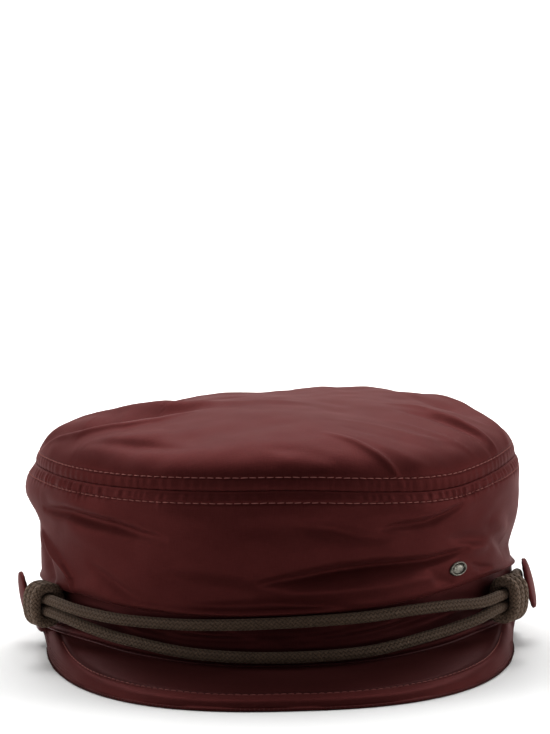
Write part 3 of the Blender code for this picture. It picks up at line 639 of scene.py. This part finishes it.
def add_crown_top():
    rise = np.concatenate([np.linspace(0, 0.16, 26)[:-1], np.linspace(0.16, 0.985, 78)])
    a, r = np.meshgrid(ALL_ROUND, rise)
    grid = top_point(a, r)
    out = normals(grid)
    x, y = grid[..., 0], grid[..., 1]
    height = folds(TOP_FOLDS, x, y)
    for mx, my, half_length, half_width, slant, amount in TOP_SETTLING:
        turn = math.radians(slant)
        along = (x - mx) * math.cos(turn) + (y - my) * math.sin(turn)
        aside = (y - my) * math.cos(turn) - (x - mx) * math.sin(turn)
        height += amount * np.exp(-((along / half_length) ** 2) - (aside / half_width) ** 2)
    height += 0.55 * cloth_noise(x + 0.4 * y, y, 26.0, 1.7) + 0.20 * cloth_noise(x, y, 9.0, 5.2)
    height *= smooth(r / 0.20)
    pleat = np.cos(np.radians(a) * 150 + 2.0 * np.interp(a, PLEAT_AT, PLEAT_BEND))
    height += 0.10 * pleat * smooth((0.10 - r) / 0.06)
    arc = travelled(grid[:, AROUND // 2])
    for line, depth in ((TOP_STITCH_UP, 0.30), (0.5, 0.10)):
        height -= depth * np.exp(-(((arc[:, None] - line) / GROOVE_WIDTH) ** 2))
    grid = grid + out * height[..., None]
    skin = Skin(grid, arc)
    pole = grid[-1].mean(axis=0)
    hem = turned_in(grid[0], ((1.6, 1.3), (0.9, 0.30), (0.35, 0.02)))
    inner_rows = [0, 6, 12, *range(20, len(rise) - 4, 7), len(rise) - 1][::-1]
    inner = grid[inner_rows] - out[inner_rows] * CLOTH
    inner[-1] = turned_in(hem[0], [(0.6, 0.6)])[0]
    whole = np.concatenate([inner, np.stack(hem), grid])
    rows = len(whole)
    points = np.concatenate([whole.reshape(-1, 3), [pole], [pole - CLOTH * UP]])
    faces = grid_faces(rows, AROUND, True)
    last, first = (rows - 1) * AROUND, 0
    tip, under = rows * AROUND, rows * AROUND + 1
    for c in range(AROUND):
        d = (c + 1) % AROUND
        faces.append((last + c, last + d, tip))
        faces.append((first + d, first + c, under))
    obj = mesh_object("crown_top_look", points, faces, points[:, :2], top_painted_shade_cloth)
    edge = len(inner) * AROUND
    second_material(obj, lining, lambda corners: max(corners) < edge or under in corners)
    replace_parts(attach(obj, "root"), "crown_top")
    return skin


# Band

BAND_FOLDS = (
    # height, width, skew, sharpness, line
    (-1.6, 1.5, 0.5, 1.8, ((-44, 0.52), (-32, 0.44), (-20, 0.42), (-8, 0.4))),
    (1.2, 1.3, 0, 2, ((-30, 0.4), (-22, 0.47), (-12, 0.5))),
    (-1.3, 1.6, 0, 1.8, ((-14, 0.55), (0, 0.52), (12, 0.6))),
    (1.1, 1.5, 0, 2, ((4, 0.42), (16, 0.52), (26, 0.62))),
    (-1.1, 1.4, 0, 1.8, ((-2, 0.34), (12, 0.42), (24, 0.5), (34, 0.6))),
    (0.8, 1.4, 0, 2, ((28, 0.4), (40, 0.5), (50, 0.6))),
    (0.6, 1.5, 0, 2, ((-60, 0.6), (-48, 0.66), (-36, 0.6))),
)


def add_band():
    around = ALL_ROUND
    above = BAND_HEIGHT - WELT_HEIGHT
    up = np.linspace(1.0, 0.0, 34)
    section = [(BAND_HEIGHT + 2.0, -0.4, 0.0), (BAND_HEIGHT + 1.2, -0.1, 0.0)]
    section += [(WELT_HEIGHT + share * above, 0.0, 1.0) for share in up]
    for angle in np.linspace(80, -62, 12):
        turn = math.radians(angle)
        section.append((1.5 + 1.5 * math.sin(turn), -0.25 + (WELT_OUT + 0.25) * math.cos(turn), 0.0))
    section += [(share * BAND_HEIGHT, -BAND_WALL, 0.0) for share in (0.0, 0.35, 0.7, 1.02, 1.1)]
    (x, y), (nx, ny) = band_ring(around), outward(around)
    lines = to_cloth(BAND_FOLDS, PER_DEGREE, above)
    grid = []
    for height, out, cloth in section:
        share = (height - WELT_HEIGHT) / above
        rise = np.full(AROUND, height) + arch(around)
        shape = np.zeros(AROUND)
        if cloth:
            s, t = np.radians(around) * GIRTH, np.full(AROUND, share * above)
            shape = folds(lines, s, t) + 0.35 * ring_noise(around, t, 16.0, 4.5, 21.0)
            shape *= math.sin(math.pi * min(max(share, 0.0), 1.0)) ** 0.5
        rest = np.maximum(rise, floor_height(y))
        grid.append(np.stack([x + nx * (out + shape), y + ny * (out + shape), rest], -1))
    uv = wall_uv([height for height, _, _ in section])
    # The band takes the darker cloth: painted shade.
    obj = grid_object("band_look", np.stack(grid), uv, band_painted_shade_cloth, wrap_rows=True)
    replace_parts(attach(obj, "root"), "band")


# Visor

def visor_edge(around):
    a, power = np.radians(around), 2 / VISOR_SQUARENESS
    x = VISOR_SHIFT + VISOR_HALF_WIDTH * np.sign(a) * np.abs(np.sin(a)) ** power
    return x, -(BAND_HALF_LENGTH + VISOR_LENGTH) * np.cos(a) ** power


def visor_top(around, share):
    """Point of the visor's upper face: share 0 is under the band's welt and 1 at the outer edge."""
    reach = WELT_OUT - smooth(np.cos(np.radians(around)))
    wx, wy = band_ring(around, reach)
    ex, ey = visor_edge(around)
    x, y = wx + share * (ex - wx), wy + share * (ey - wy)
    start = arch(around) - 0.3
    z = start + share**VISOR_ROLL * (floor_height(ey) + VISOR_WALL - start)
    return np.stack([x, y, z], -1)


RIM_DROP, RIM_DROP_WIDTH = 1.4, 3.0
HEM_HEIGHT, TOPSTITCH_DEPTH, TOPSTITCH_WIDTH = 0.32, 0.42, 0.6
TOPSTITCH_IN = (
    # around, way in from the edge
    (0, 7.6), (25, 7), (40, 5.2), (52, 3.8), (64, 3.5), (76, 4.6), (86, 6.6),
)


def topstitch_in(around):
    return through(TOPSTITCH_IN, np.abs(around))


def from_edge(grid):
    """Shortest way, seen from above, from each point of the visor's face to its outer edge."""
    flat, edge = grid[..., None, :2], grid[-1, :, :2]
    return np.linalg.norm(flat - edge, axis=-1).min(axis=-1)


def add_visor():
    cols = 300
    around = np.linspace(-VISOR_HALF_ANGLE, VISOR_HALF_ANGLE, cols)
    shares = np.concatenate([[-0.06], np.linspace(0.0, 0.72, 22)[:-1], np.linspace(0.72, 1.0, 26)])
    a, s = np.meshgrid(around, shares)
    grid = visor_top(a, np.maximum(s, 0.0))
    grid[0] = np.stack([*band_ring(around, -BAND_WALL), arch(around) - 0.3], -1)
    away = from_edge(grid)
    grid[..., 2] -= RIM_DROP * np.clip(1.0 - away / RIM_DROP_WIDTH, 0.0, 1.0) ** 2
    edge = grid[-1]
    out = normals(grid, closed=False)
    out = np.where(out[..., 2:3] < 0, -out, out)
    inset = topstitch_in(a)
    hem = smooth((inset - away) / 2.0) * smooth(away / 2.0)
    height = HEM_HEIGHT * hem - TOPSTITCH_DEPTH * np.exp(-(((away - inset) / TOPSTITCH_WIDTH) ** 2))
    height += 0.10 * cloth_noise(grid[..., 0], grid[..., 1], 12.0, 7.7) * smooth(s / 0.1)
    height *= smooth(s / 0.05)
    grid = grid + out * height[..., None]
    # Rounded rim, then back underneath.
    towards = unit(edge - grid[-8])
    towards[..., 2] = 0.0
    towards = unit(towards)
    rim = []
    for angle in np.linspace(70, -70, 9):
        turn = math.radians(angle)
        fall = (VISOR_WALL - RIM_DROP) / 2 * (1 - math.sin(turn))
        rim.append(edge + towards * 0.9 * (math.cos(turn) - 0.34) - fall * UP)
    under = [visor_top(around, share) for share in (0.97, 0.85, 0.65, 0.4, 0.15, 0.0)] + [grid[0]]
    under = np.stack(under) - VISOR_WALL * UP
    whole = np.concatenate([grid, np.stack(rim), under])
    whole[..., 2] = np.maximum(whole[..., 2], floor_height(whole[..., 1]))
    uv = np.stack([np.broadcast_to(np.radians(around) * 100.0, whole.shape[:2]), whole[..., 1]], -1)
    rows = len(whole)
    faces = grid_faces(rows, cols, False, True)
    faces.append(tuple(r * cols for r in range(rows))[::-1])
    faces.append(tuple(r * cols + cols - 1 for r in range(rows)))
    # The visor's face takes the darker cloth: painted shade.
    obj = mesh_object("visor_look", whole, faces, uv, visor_painted_shade_cloth)
    # Painted highlight: the padded hem outside the stitches, and the rim, take a lighter copy of the visor's
    # cloth for the light that they catch.
    hem_painted_light_mask = np.repeat([True, False], [len(rim) * cols, len(under) * cols])
    hem_painted_light_mask = np.concatenate([(away < inset).ravel(), hem_painted_light_mask])
    second_material(obj, hem_painted_light_cloth, lambda corners: hem_painted_light_mask[list(corners)].all())
    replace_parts(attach(obj, "root"), "visor")
    return grid, out, around


# Stitches and tubes

def frames(points, closed):
    """Directions along a line of points and two directions across it that turn as little as possible."""
    ahead = np.roll(points, -1, 0) - np.roll(points, 1, 0) if closed else np.gradient(points, axis=0)
    ahead = unit(ahead)
    first = np.cross(ahead[0], [0.0, 0.0, 1.0])
    side = [first / np.linalg.norm(first)]
    for direction in ahead[1:]:
        kept = side[-1] - direction * np.dot(side[-1], direction)
        side.append(kept / np.linalg.norm(kept))
    side = np.stack(side)
    return ahead, side, np.cross(ahead, side)


def end_faces(first, last, sides):
    """Faces that close the two ends of a tube whose rings start at those points."""
    return [tuple(first + k for k in range(sides))[::-1], tuple(last + k for k in range(sides))]


def tube(name, points, radius, sides, material, closed=False, yarn=1.0):
    """Round tube along points, with its ends rounded off. UV runs in yarns along it and once round it."""
    points = np.asarray(points, float)
    ahead, side, other = frames(points, closed)
    turn = np.zeros(len(points))
    if closed:
        end = math.atan2(np.dot(side[0], other[-1]), np.dot(side[0], side[-1]))
        turn = np.linspace(0, end, len(points))
    length = travelled(points)
    around = np.arange(sides + 1) * math.tau / sides
    rings = []
    for i in range(len(points)):
        angle = around + turn[i]
        way = np.cos(angle)[:, None] * side[i] + np.sin(angle)[:, None] * other[i]
        rings.append(points[i] + radius * way)
    if not closed:
        caps = []
        for end, way in ((0, -1.0), (-1, 1.0)):
            for lean in (math.radians(degrees) for degrees in (30, 60, 85)):
                ring = points[end] + (rings[end] - points[end]) * math.cos(lean)
                caps.append(ring + way * ahead[end] * radius * math.sin(lean))
        rings = caps[2::-1] + rings + caps[3:]
        length = np.concatenate([[-3e-3, -2e-3, -1e-3], length, length[-1] + np.array([1e-3, 2e-3, 3e-3])])
    grid = np.stack(rings)
    rows, cols = grid.shape[:2]
    uv = np.stack(np.broadcast_arrays((length / yarn)[:, None], (around / math.tau)[None, :]), -1)
    faces = grid_faces(rows, cols, False, closed)
    if not closed:
        faces += end_faces(0, (rows - 1) * cols, cols - 1)
    return mesh_object(name, grid, faces, uv, material)


SPINDLE = (
    # share of the length, size and rise as shares of the radius
    (0, 0.45, -0.8), (0.12, 0.85, 0.1), (0.5, 1, 0.55), (0.88, 0.85, 0.1), (1, 0.45, -0.8),
)


def stitches(name, starts, ends, lifts, radius, material):
    """Short raised stitches: each is a small spindle from a start to an end, arched away from the cloth."""
    points, faces = [], []
    sides = 6
    for start, end, lift in zip(starts, ends, lifts):
        along = end - start
        ahead = along / np.linalg.norm(along)
        side = np.cross(ahead, lift)
        side /= np.linalg.norm(side)
        rise = np.cross(side, ahead)
        base = len(points)
        for share, size, arch_up in SPINDLE:
            middle = start + share * along + rise * arch_up * radius
            for k in range(sides):
                angle = math.tau * k / sides
                points.append(middle + radius * size * (math.cos(angle) * side + math.sin(angle) * rise))
        faces += grid_faces(len(SPINDLE), sides, True, start=base)
        faces += end_faces(base, len(points) - sides, sides)
    obj = mesh_object(name, points, faces, None, material)
    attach(obj, "root")


def stitch_ring(name, skin, up):
    fine = np.linspace(-180, 180, 2881)
    line, _ = skin.at(fine, np.full(fine.shape, up))
    length = travelled(line)
    count = int(round(length[-1] / STITCH_PITCH))
    starts = np.arange(count) * length[-1] / count
    wander = rng.normal(0.0, 0.05, count)
    ends = starts + STITCH_PITCH * STITCH_SHARE * rng.uniform(0.92, 1.06, count)
    height = np.full(count, up)
    a, lift = skin.at(np.interp(starts, length, fine), height)
    b, _ = skin.at(np.interp(np.minimum(ends, length[-1]), length, fine), height)
    drift = UP * wander[:, None]
    offset = lift * STITCH_RADIUS * 0.9
    stitches(name, a + offset + drift, b + offset - drift, lift, STITCH_RADIUS, thread)


# Cord

COIL_AROUND = {"left": -67.0, "right": 58.5}
COIL_UP = {"left": 0.60, "right": 0.57}
BUTTON_AROUND = {"left": -90.0, "right": 79.0}
BUTTON_UP = {"left": 0.54, "right": 0.64}
BUTTON_LEAN = {"left": 9.0, "right": 12.0}
BUTTON_YAW = {"left": 9.0, "right": 0.0}
CORD_WIDTH, LOOK_CORD_RADIUS = 3.8, 1.95
COIL_WIDTH, LOOK_COIL_RADIUS = 3.7, 1.95
COIL_TURNS, COIL_SQUARENESS, COIL_DRAW = 3.0, 2.8, 8.0
GAP = 0.3
STRAND_STOP = 6.0
CORD_YARN, COIL_YARN, CORD_SIDES = 1.7, 1.5, 24
SHANK_RADIUS = 1.5
COIL_HALF_DEPTH = (CORD_WIDTH + COIL_WIDTH) / 2 + 1.5 * GAP
STRAND_HEIGHTS = (
    # around, upper, lower
    (-84, 0.7, 0.4), (-64, 0.66, 0.42), (-55, 0.64, 0.39), (-48, 0.64, 0.33), (-42, 0.66, 0.29),
    (-36, 0.69, 0.28), (-26, 0.75, 0.23), (-12, 0.83, 0.2), (0, 0.87, 0.19), (10, 0.89, 0.2),
    (19, 0.89, 0.22), (25, 0.89, 0.26), (30, 0.87, 0.29), (36, 0.83, 0.31), (42, 0.77, 0.33),
    (50, 0.64, 0.3), (58, 0.62, 0.33), (84, 0.66, 0.4),
)
STRAND_LIFT = (
    # along, stand_off
    (0, 0), (0.22, 0), (0.45, 0.06), (0.68, 0.42), (0.86, 1), (0.93, 1.04), (1, 1.02), (1.17, 1.05),
    (1.34, 1.04), (1.7, 0.38), (2, 0),
)


def stand_off(share):
    """How far the cord's middle stands off the band: share 0 lies on it, 1 runs through the coil."""
    lying = GAP + CORD_WIDTH / 2
    lifted = GAP + COIL_WIDTH / 2 + COIL_HALF_DEPTH
    return lying + share * (lifted - lying)


def by_side(table, right):
    return np.where(right, table["right"], table["left"])


def strand(around, up):
    """Upper (up = 1) or lower (up = -1) strand of the doubled cord at angles from the front."""
    right = around >= 0
    coil = np.abs(by_side(COIL_AROUND, right))
    end = np.abs(by_side(BUTTON_AROUND, right)) - STRAND_STOP
    here = np.abs(around)
    route = np.where(here < coil, here / coil, 1 + (here - coil) / (end - coil))
    height = BAND_HEIGHT * through(STRAND_HEIGHTS, around, 1 if up > 0 else 2)
    half_gap = (CORD_WIDTH + GAP) / 2
    in_coil = BAND_HEIGHT * by_side(COIL_UP, right) + up * half_gap
    at_shank = BAND_HEIGHT * by_side(BUTTON_UP, right) + up * (SHANK_RADIUS + GAP + CORD_WIDTH / 2)
    half_length = COIL_TURNS / 2 * (COIL_WIDTH + GAP) + COIL_WIDTH / 2
    beyond = np.maximum(np.abs(here - coil) - math.degrees(half_length / GIRTH), 0.0)
    height = height + (in_coil - height) * np.exp(-((beyond / COIL_DRAW) ** 2))
    height = height + (at_shank - height) * smooth((route - 1.4) / 0.6)
    over_welt = WELT_OUT * smooth((WELT_HEIGHT + CORD_WIDTH - height) / (CORD_WIDTH / 2))
    out = np.maximum(stand_off(through(STRAND_LIFT, route)), stand_off(0.0) + over_welt)
    return np.stack([*off_band(around, out), height + arch(around)], -1)


def shank_turn(word, sign):
    middle, out_way, back = button_place(word)
    middle = middle + out_way * (GAP + CORD_WIDTH / 2)
    angles = sign * np.radians(90 - 180 * np.arange(1, 14) / 14)
    radius = SHANK_RADIUS + GAP + CORD_WIDTH / 2
    return middle + radius * (np.cos(angles)[:, None] * back + np.sin(angles)[:, None] * UP)


def button_place(word):
    """Where a button's shank leaves the band, the way that it points, and the way round to the back."""
    around = BUTTON_AROUND[word]
    side = math.copysign(1.0, around)
    (x, y), (nx, ny) = band_ring(around), outward(around)
    height = BUTTON_UP[word] * BAND_HEIGHT + float(arch(around))
    return np.array([x, y, height]), np.array([nx, ny, 0.0]), np.array([-side * ny, side * nx, 0.0])


def even(points, step, closed):
    """The same line with its points evenly spaced."""
    if closed:
        points = np.concatenate([points, points[:1]])
    length = travelled(points)
    count = int(round(length[-1] / step))
    at = np.linspace(0, length[-1], count + 1)
    if closed:
        at = at[:-1]
    return read_line(points, length, at)


def relaxed(points, times, closed):
    """Evens out small corners in a line."""
    for _ in range(times):
        before, after = np.roll(points, 1, 0), np.roll(points, -1, 0)
        middle = 0.5 * points + 0.25 * (before + after)
        if not closed:
            middle[0], middle[-1] = points[0], points[-1]
        points = middle
    return points


def squared_off(value):
    return math.copysign(abs(value) ** (2 / COIL_SQUARENESS), value)


def add_cord():
    steps = np.linspace(BUTTON_AROUND["left"] + STRAND_STOP, BUTTON_AROUND["right"] - STRAND_STOP, 400)
    upper, lower = strand(steps, 1), strand(steps[::-1], -1)
    loop = np.concatenate([upper, shank_turn("right", 1), lower, shank_turn("left", -1)])
    loop = relaxed(even(loop, 0.8, True), 6, True)
    obj = tube("cord_loop_look", loop, LOOK_CORD_RADIUS, CORD_SIDES, cord_braid, closed=True, yarn=CORD_YARN)
    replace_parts(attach(obj, "root"), "cord_loop")
    for word in ("left", "right"):
        around = COIL_AROUND[word]
        nx, ny = outward(around)
        height = COIL_UP[word] * BAND_HEIGHT + arch(around)
        middle = np.array([*off_band(around, stand_off(1.0)), height])
        out_way, along = np.array([nx, ny, 0.0]), np.array([-ny, nx, 0.0])
        half_height = (CORD_WIDTH + GAP) / 2 + COIL_HALF_DEPTH
        points = []
        for turn in np.linspace(0, COIL_TURNS, 240):
            angle = math.pi + math.tau * turn
            depth = squared_off(math.cos(angle)) * COIL_HALF_DEPTH
            rise = squared_off(math.sin(angle)) * half_height
            shift = (turn - COIL_TURNS / 2) * (COIL_WIDTH + GAP)
            points.append(middle + depth * out_way + rise * UP + shift * along)
        line = relaxed(even(np.array(points), 0.5, False), 8, False)
        obj = tube(f"cord_coil_{word}_look", line, LOOK_COIL_RADIUS, CORD_SIDES, coil_painted_light_braid, yarn=COIL_YARN)
        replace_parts(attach(obj, "root"), f"cord_coil_{word}")


# Buttons and stud

BUTTON_RADIUS, BUTTON_EDGE, BUTTON_DOME = 9.2, 1.0, 1.4


def add_buttons():
    for word, side in (("left", -1), ("right", 1)):
        lean, yaw = math.radians(BUTTON_LEAN[word]), math.radians(BUTTON_YAW[word])
        back = 2 * GAP + CORD_WIDTH + (SHANK_RADIUS + GAP + CORD_WIDTH) * math.sin(lean)
        back += 0.7 * BUTTON_RADIUS * math.sin(yaw)
        profile = [(0.01, 0.3), (SHANK_RADIUS, 0.3), (SHANK_RADIUS, back + 0.2)]
        profile += [(r * BUTTON_RADIUS, back) for r in (0.3, 0.6, 0.86)]
        edge = ((0.97, 0.12), (1.0, 0.5), (0.985, 0.95))
        profile += [(share * BUTTON_RADIUS, back + rise) for share, rise in edge]
        for a in np.linspace(0.25, 1.57, 10):
            height = back + BUTTON_EDGE + math.sin(a) * BUTTON_DOME
            profile.append((math.cos(a) * BUTTON_RADIUS + 0.01, height))
        sides = 96
        base, out_way, back_way = button_place(word)
        rows = []
        turn = np.arange(sides) * math.tau / sides
        for radius, height in profile:
            gathered = 0.5 < radius / BUTTON_RADIUS < 0.99 and height <= back + 0.2
            gather = 0.10 * np.cos(turn * 17 + 0.7 * np.sin(turn * 3)) if gathered else 0.0
            x, y, z = radius * np.cos(turn), radius * np.sin(turn), height + gather + 0 * turn
            if height >= back - 0.01:
                lx = x * math.cos(lean) - (z - back) * math.sin(lean)
                lz = x * math.sin(lean) + (z - back) * math.cos(lean)
                y, lz = y * math.cos(yaw) - lz * math.sin(yaw), y * math.sin(yaw) + lz * math.cos(yaw)
                x, z = lx, back + lz
            # Local X points down on the right and up on the left; local Z points out.
            across = z[:, None] * out_way + y[:, None] * back_way
            rows.append(base + across - side * x[:, None] * UP)
        reach = np.array([radius for radius, _ in profile])[:, None]
        uv = np.stack([reach * np.cos(turn), reach * np.sin(turn)], -1)
        obj = grid_object(f"button_{word}_look", np.stack(rows), uv, button_painted_light_cloth)
        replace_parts(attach(obj, "root"), f"button_{word}")


STUD_PROFILE = (
    # share of the radius, height as a share of the thickness
    (0.7, -0.2), (0.9, 0), (1, 0.2), (1.03, 0.5), (1, 0.8), (0.93, 1), (0.86, 1), (0.8, 0.84),
    (0.77, 0.7), (0.75, 0.62), (0.71, 0.62), (0.67, 0.74), (0.56, 0.86), (0.45, 0.94), (0.2, 1), (0.01, 1.02),
)
STUD_RECESS_ROWS = range(8, 11)
STUD_LEAN = 26.0


def add_stud():
    """Oval plate with a beaded rim and a plain, slightly raised middle, standing where the CAD stud is."""
    middle = np.mean(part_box("stud"), axis=0)
    points = np.array([tuple(v.co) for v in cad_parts["stud"].data.vertices])
    long_way, _, out = np.linalg.svd(points - points.mean(axis=0), full_matrices=False)[2]
    if out[1] > 0:
        out = -out
    if long_way[2] < 0:
        long_way = -long_way
    short_way = np.cross(out, long_way)
    lean = math.radians(STUD_LEAN) * math.copysign(1.0, short_way[0])
    long_way, short_way = (
        long_way * math.cos(lean) + short_way * math.sin(lean),
        short_way * math.cos(lean) - long_way * math.sin(lean),
    )
    half_length, half_width, thick = 4.4 * MM, 2.35 * MM, 1.6 * MM
    sides = 72
    turn = np.arange(sides) * math.tau / sides
    rows = []
    for share, height in STUD_PROFILE:
        ripple = 0.03 * np.cos(turn * 24) if 0.85 < share < 0.99 and height > 0.9 else 0.0 * turn
        x, y = half_length * share * np.cos(turn), half_width * share * np.sin(turn)
        h = (height + ripple) * thick - thick / 2
        rows.append(middle + x[:, None] * long_way + y[:, None] * short_way + h[:, None] * out)
    faces = grid_faces(len(rows), sides, True)
    obj = mesh_object("stud_look", rows, faces, None, metal, world=False)
    # The groove inside the beaded rim gets the darker metal: painted shade.
    second_material(obj, recess_painted_shade_metal, lambda corners: min(corners) // sides in STUD_RECESS_ROWS)
    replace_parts(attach(obj, "root"), "stud")


def add_visor_trim(visor):
    grid, out, around = visor
    edge = grid[-1]
    away = from_edge(grid)
    line, lift = [], []
    for column in range(len(around)):
        distances, inset = away[2:, column], float(topstitch_in(around[column]))
        if distances[0] < inset:
            continue
        row = 2 + int(np.argmax(distances < inset))
        share = (away[row - 1, column] - inset) / (away[row - 1, column] - away[row, column])
        line.append(grid[row - 1, column] * (1 - share) + grid[row, column] * share)
        lift.append(out[row, column])
    line, lift = relaxed(np.array(line), 6, False), np.array(lift)
    length = travelled(line)
    starts = np.arange(0, length[-1] - 2.4, VISOR_STITCH_PITCH)
    up = unit(read_line(lift, length, starts))
    a, b = (read_line(line, length, where) + up * 0.12 for where in (starts, starts + VISOR_STITCH_LENGTH))
    stitches("visor_stitches", a, b, up, STITCH_RADIUS, thread)

    # Overcast stitches round the rim's lower edge.
    rim = edge.copy()
    rim[:, 2] = floor_height(rim[:, 1]) + 0.45
    way = np.gradient(edge, axis=0)
    aside = unit(np.stack([way[:, 1], -way[:, 0], np.zeros(len(way))], -1))
    aside = np.where((aside * (edge - np.array([0, -50.0, 0]))).sum(-1, keepdims=True) < 0, -aside, aside)
    rim = rim + aside * 0.25
    length = travelled(rim)
    starts = np.arange(1.0, length[-1] - 1.0, RIM_STITCH_PITCH)
    a, b = (read_line(rim, length, where) for where in (starts, starts + RIM_STITCH_LENGTH))
    up = unit(read_line(aside, length, starts))
    stitches("visor_rim_stitches", a, b + 0.5 * UP, up, RIM_STITCH_RADIUS, rim_thread)

    # Thin folded edge where the visor meets the band, and the rolled ends of its seam, in a lighter cloth
    # than the band and visor: painted highlight along them.
    turn = np.linspace(-88, 88, 500)
    seam = np.stack([*band_ring(turn, WELT_OUT - 0.35), arch(turn) + 0.02], -1)
    obj = tube("visor_seam_edge", seam, SEAM_EDGE_RADIUS, 8, edge_painted_highlight_cloth)
    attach(obj, "root")
    for word, side in (("left", -1), ("right", 1)):
        ends = side * np.linspace(87.0, 80.0, 12)
        roll = np.stack([*band_ring(ends, WELT_OUT + 0.7), arch(ends) - 0.9], -1)
        obj = tube(f"seam_roll_{word}", roll, SEAM_ROLL_RADIUS, 16, edge_painted_highlight_cloth)
        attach(obj, "root")


def add_room():
    """Pale floor that curves up into a pale wall far behind the cap."""
    size, back, radius, height = 4.0, 2.2, 0.9, 2.6
    profile = [(-size, 0.0), (back - radius, 0.0)]
    for angle in np.linspace(0, math.pi / 2, 16)[1:]:
        profile.append((back - radius + radius * math.sin(angle), radius - radius * math.cos(angle)))
    profile.append((back, height))
    grid = [(x, y, z) for y, z in profile for x in (-size, size)]
    faces = grid_faces(len(profile), 2, False)
    white = plain_material("backdrop", (0.90, 0.90, 0.895), 0.9, grain=0.01, scale=3.0)
    floor = mesh_object("floor", grid, faces, None, white, world=False)


AIM = (0.0, 0.0, 0.04)
LIGHTS = (
    # name, place, aimed at, size, power
    ("overhead", (0.0, 0.78, 1.15), AIM, (1.6, 0.8), 34.0),
    ("left_side", (-1.25, 0.20, 0.45), AIM, (0.6, 0.8), 6.5),
    ("right_side", (1.25, 0.15, 0.45), AIM, (0.6, 0.8), 7.5),
    ("backdrop_wash", (0.0, 0.9, 1.5), (0.0, 2.2, 0.9), (1.8, 0.5), 30.0),
)


def add_lights():
    for name, location, target, size, power in LIGHTS:
        data = bpy.data.lights.new(name, "AREA")
        data.shape = "RECTANGLE"
        data.size, data.size_y = size
        data.energy = power
        lamp = bpy.data.objects.new(name, data)
        lamp.location = location
        lamp.rotation_euler = (Vector(target) - Vector(location)).to_track_quat("-Z", "Y").to_euler()
        bpy.context.scene.collection.objects.link(lamp)
    world = bpy.data.worlds.new("studio")
    bpy.context.scene.world = world
    world.use_nodes = True
    set_inputs(world.node_tree.nodes["Background"], {"Color": (1.0, 1.0, 1.0, 1.0), "Strength": 0.17})
    bpy.context.scene.view_settings.view_transform = "Standard"


def level_with(forward):
    """Right and up for someone who looks that way with a level head."""
    right = forward.cross(Vector((0, 0, 1))).normalized()
    return right, right.cross(forward)


def add_camera():
    """Camera at the photo's height and angle. It aims above the cap, which stands low in the picture."""
    distance, elevation, azimuth, roll = 1.2, 9.0, -2.3, -1.1
    picture_width, picture_height, sensor = 550.0, 734.0, 36.0
    target, seen_at = Vector((CAP_PLACE[0], CAP_PLACE[1], 0.031)), (273.6, 550.5)
    focal = 2.74 * distance * 1000.0
    e, a, r = (math.radians(value) for value in (elevation, azimuth, roll))
    back = Vector((math.sin(a) * math.cos(e), -math.cos(a) * math.cos(e), math.sin(e)))
    forward = -back
    right, up = level_with(forward)
    pitch = math.atan((seen_at[1] - picture_height / 2) / focal)
    yaw = math.atan((seen_at[0] - picture_width / 2) / focal)
    forward = (forward * math.cos(pitch) + up * math.sin(pitch)).normalized()
    forward = (forward * math.cos(yaw) - right * math.sin(yaw)).normalized()
    right, up = level_with(forward)
    across, above = right * math.cos(r) + up * math.sin(r), up * math.cos(r) - right * math.sin(r)
    data = bpy.data.cameras.new("camera")
    data.sensor_width = sensor
    data.lens = focal / picture_height * sensor
    data.clip_end = 20.0
    camera = bpy.data.objects.new("camera", data)
    turn = Matrix((across, above, -forward)).transposed().to_4x4()
    turn.translation = target + distance * back
    camera.matrix_world = turn
    bpy.context.scene.collection.objects.link(camera)
    bpy.context.scene.camera = camera


side_skin = add_crown_side()
top_skin = add_crown_top()
add_band()
visor_parts = add_visor()
add_visor_trim(visor_parts)
stitch_ring("side_stitches", side_skin, SIDE_STITCH_UP)
stitch_ring("top_stitches", top_skin, TOP_STITCH_UP)
add_cord()
add_buttons()
add_stud()
add_room()
add_lights()
add_camera()
